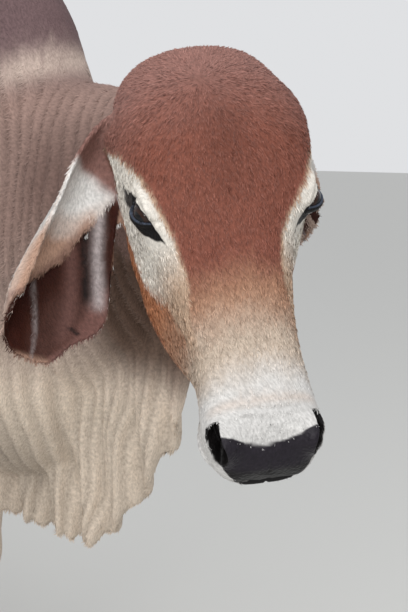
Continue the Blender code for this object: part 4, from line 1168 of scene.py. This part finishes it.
def coat_weights(name):
    """How densely each face of the hide carries this part of the coat."""
    y, z = face_middles.T[1:]
    head = face_shares["head"]
    ear = face_shares["ear"] > 0.3
    near_ears = face_shares["near_ears"] > 0.0
    open_skin = np.clip(1 - 1.6 * face_shares["bare"], 0, 1)
    s, h = in_head(face_middles)[1:]
    front = -y > 0.30
    low_curtain = z < 1.00 - 0.25 * np.clip(-y - 0.35, 0, 1)
    if name == "coat_face":
        return head * ~ear * open_skin * (1 + 0.8 * step(s, 0.40, 0.47)) * (1 + 0.3 * step(h, -0.16, -0.06))
    if name == "coat_ears":
        return ear * 1.0
    if name == "coat_neck":
        return (1 - head) * ~near_ears * front * ~low_curtain
    if name == "coat_dewlap":
        return (1 - head) * ~ear * front * low_curtain
    legs = (z < 0.72) | (y > 1.13)
    if name == "coat_legs":
        return (1 - head) * ~front * legs * 1.0
    return (1 - head) * ~front * ~legs * 1.0


for coat in COATS:
    place, lean = scattered(coat.count, coat_weights(coat.name), coat.seed)
    draw = np.random.default_rng(coat.seed + 100)
    flow = lie_of_coat(place, lean)
    lengths = coat.length * (0.7 + 0.6 * draw.random(coat.count))
    widths = coat.width * (0.75 + 0.5 * draw.random(coat.count))
    u, s, h = in_head(place)
    if coat.name == "coat_face":
        short = 1 - 0.48 * step(s, 0.36, 0.46)
        for side in (-1, 1):
            a, b, g = in_eye(place, side)
            short *= 1 - 0.5 * step(np.hypot(a, b * 1.6), 0.055, 0.035) * (g > -0.02)
        lengths *= short
        widths *= 0.6 + 0.4 * short
    colours = hide_colour(place, lean)
    colours = laid(colours, BLACK_SKIN, bare_shares(place)[0])
    if coat.name == "coat_face":
        # A few dark hairs stand above the nose.
        lip = step(s, 0.462, 0.492) * step(np.abs(u), 0.060, 0.040) * step(h, -0.125, -0.10)
        flecks = draw.random(coat.count) < 0.012 * step(s, 0.43, 0.46) + 0.13 * lip ** 2
        colours = laid(colours, BLACK_SKIN, flecks * (0.5 + 0.5 * draw.random(coat.count)))
        widths *= np.where(flecks, 0.7, 1.0)
    mesh = tuft_mesh(coat, place, lean, flow, lengths, widths, colours)
    mesh.materials.append(coat_finish)
    piece = add_piece(coat.name, mesh)
    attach(piece, "root")


# The feet: each claw is a box of dark horn with growth rings, worn flat below.

def horn_material():
    made, work, shader = new_material("claw_horn")
    place = work.add("ShaderNodeTexCoord")
    rings = work.add("ShaderNodeTexWave", wave_type="BANDS", bands_direction="Z")
    rings.inputs["Scale"].default_value = 60
    rings.inputs["Distortion"].default_value = 2.5
    work.put(rings, Vector=place.outputs["Object"])
    ramp = work.add("ShaderNodeValToRGB")
    ramp.color_ramp.elements[0].color = (0.030, 0.023, 0.020, 1)
    ramp.color_ramp.elements[1].color = (0.095, 0.075, 0.062, 1)
    work.tree.links.new(rings.outputs["Fac"], ramp.inputs["Fac"])
    work.put(shader, Base_Color=ramp.outputs["Color"])
    bump = work.add("ShaderNodeBump")
    bump.inputs["Strength"].default_value = 0.5
    bump.inputs["Distance"].default_value = 0.0015
    work.tree.links.new(rings.outputs["Fac"], bump.inputs["Height"])
    work.tree.links.new(bump.outputs["Normal"], shader.inputs["Normal"])
    shader.inputs["Roughness"].default_value = 0.45
    return made


horn_finish = horn_material()
for name in sorted(nodes):
    if "claw" in name:
        nodes[name].data.materials.clear()
        nodes[name].data.materials.append(horn_finish)


# The tail's switch: long dark hair from the last bones of the tail, hanging in tapered strands.

STRANDS = 900
STRAND_STEPS = 7
low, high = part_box("tail_switch")
switch_top = Vector(((low.x + high.x) / 2, (low.y + high.y) / 2, high.z))


def switch_mesh():
    draw = np.random.default_rng(71)
    tall = high.z - low.z
    turn = draw.random(STRANDS) * 2 * math.pi
    ring = np.sqrt(draw.random(STRANDS))
    start = 0.30 * draw.random(STRANDS)
    length = (0.62 + 0.34 * draw.random(STRANDS)) * (1 - start * 0.8)
    t = np.linspace(0, 1, STRAND_STEPS)
    drop = start[:, None] + length[:, None] * t
    belly = 0.012 + 0.026 * np.sin(np.clip(drop, 0, 1) * math.pi) ** 0.9 - 0.004 * drop
    wave = 0.004 * np.sin(7 * t + turn[:, None] * 3)
    radius = ring[:, None] * np.maximum(belly, 0.003) + wave
    x = switch_top.x + radius * np.cos(turn)[:, None]
    y = switch_top.y + radius * np.sin(turn)[:, None]
    z = switch_top.z + 0.004 - drop * tall
    path = np.stack([x, y, z], axis=2)
    across = np.stack([-np.sin(turn), np.cos(turn), 0 * turn], axis=1)[:, None, :]
    half = (0.0013 * (1 - t ** 2) + 0.00008)[None, :, None]
    sides = np.stack([path - across * half, path + across * half], axis=2)
    vertices = sides.reshape(-1, 3)
    k = np.arange(STRAND_STEPS - 1)
    quad = np.stack([2 * k, 2 * k + 1, 2 * k + 3, 2 * k + 2], axis=1).ravel()
    loops = (np.arange(STRANDS)[:, None] * (2 * STRAND_STEPS) + quad).ravel()
    mesh = mesh_of("switch_hair", vertices, loops, 4)
    own = 0.7 + 0.6 * draw.random(STRANDS)
    tints = np.repeat(own, 2 * STRAND_STEPS)[:, None] * SWITCH_BROWN
    add_colours(mesh, "markings", tints)
    layer = mesh.uv_layers.new(name="OFBake")
    u = (turn / (2 * math.pi))[:, None] + np.tile([0, 1, 1, 0], STRAND_STEPS - 1) * BAKE_PATCH
    v = (start * 0.9)[:, None] + np.repeat(k, 4) / STRAND_STEPS * BAKE_PATCH
    layer.data.foreach_set("uv", np.stack([u, v], axis=2).astype(np.float32).ravel())
    return mesh


mesh = switch_mesh()
mesh.materials.append(coat_finish)
switch = add_piece("switch_hair", mesh)
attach(switch, "root")
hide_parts("tail_switch")


# The studio: a pale floor, a soft light overhead, fill from the front, and the camera.

FLOOR_GREY = (0.62, 0.62, 0.60, 1)
SKY_COLOUR = (0.93, 0.94, 0.96, 1)
SKY_STRENGTH = 0.80
LAMP_TARGET = Vector((-0.2, -0.9, 1.1))
CAMERA_FROM_POLL = Vector((-1.163, -0.853, -0.081))
CAMERA_HEADING = math.radians(-53.9)
CAMERA_DROP = math.radians(9.09)
FOCAL_PIXELS = 1100
FRAME_HEIGHT = 612
FLOOR_SIZE = 60

form = bmesh.new()
bmesh.ops.create_grid(form, x_segments=1, y_segments=1, size=FLOOR_SIZE / 2)
mesh = bpy.data.meshes.new("floor")
form.to_mesh(mesh)
form.free()
made, work, shader = new_material("studio_floor")
shader.inputs["Base Color"].default_value = FLOOR_GREY
shader.inputs["Roughness"].default_value = 0.9
mesh.materials.append(made)
floor = add_piece("floor", mesh)

sky = bpy.data.worlds.new("studio")
bpy.context.scene.world = sky
sky.use_nodes = True
sky.node_tree.nodes["Background"].inputs["Color"].default_value = SKY_COLOUR
sky.node_tree.nodes["Background"].inputs["Strength"].default_value = SKY_STRENGTH

Lamp = namedtuple("Lamp", "name place size power")
for lamp in (Lamp("overhead", (-1.6, -2.0, 4.6), 4.0, 90), Lamp("front_fill", (-3.8, -2.4, 2.0), 2.5, 75)):
    light = bpy.data.lights.new(lamp.name, "AREA")
    light.size = lamp.size
    light.energy = lamp.power
    holder = bpy.data.objects.new(lamp.name, light)
    bpy.context.scene.collection.objects.link(holder)
    holder.location = lamp.place
    aim = LAMP_TARGET - Vector(lamp.place)
    holder.rotation_euler = aim.to_track_quat("-Z", "Y").to_euler()

camera = bpy.data.cameras.new("camera")
camera.sensor_fit = "AUTO"
camera.sensor_width = 36
camera.lens = FOCAL_PIXELS / FRAME_HEIGHT * 36
camera.clip_start = 0.05
viewpoint = bpy.data.objects.new("camera", camera)
bpy.context.scene.collection.objects.link(viewpoint)
viewpoint.location = poll + CAMERA_FROM_POLL
viewpoint.rotation_euler = (math.pi / 2 - CAMERA_DROP, 0, CAMERA_HEADING)
bpy.context.scene.camera = viewpoint
bpy.context.scene.view_settings.view_transform = "Standard"
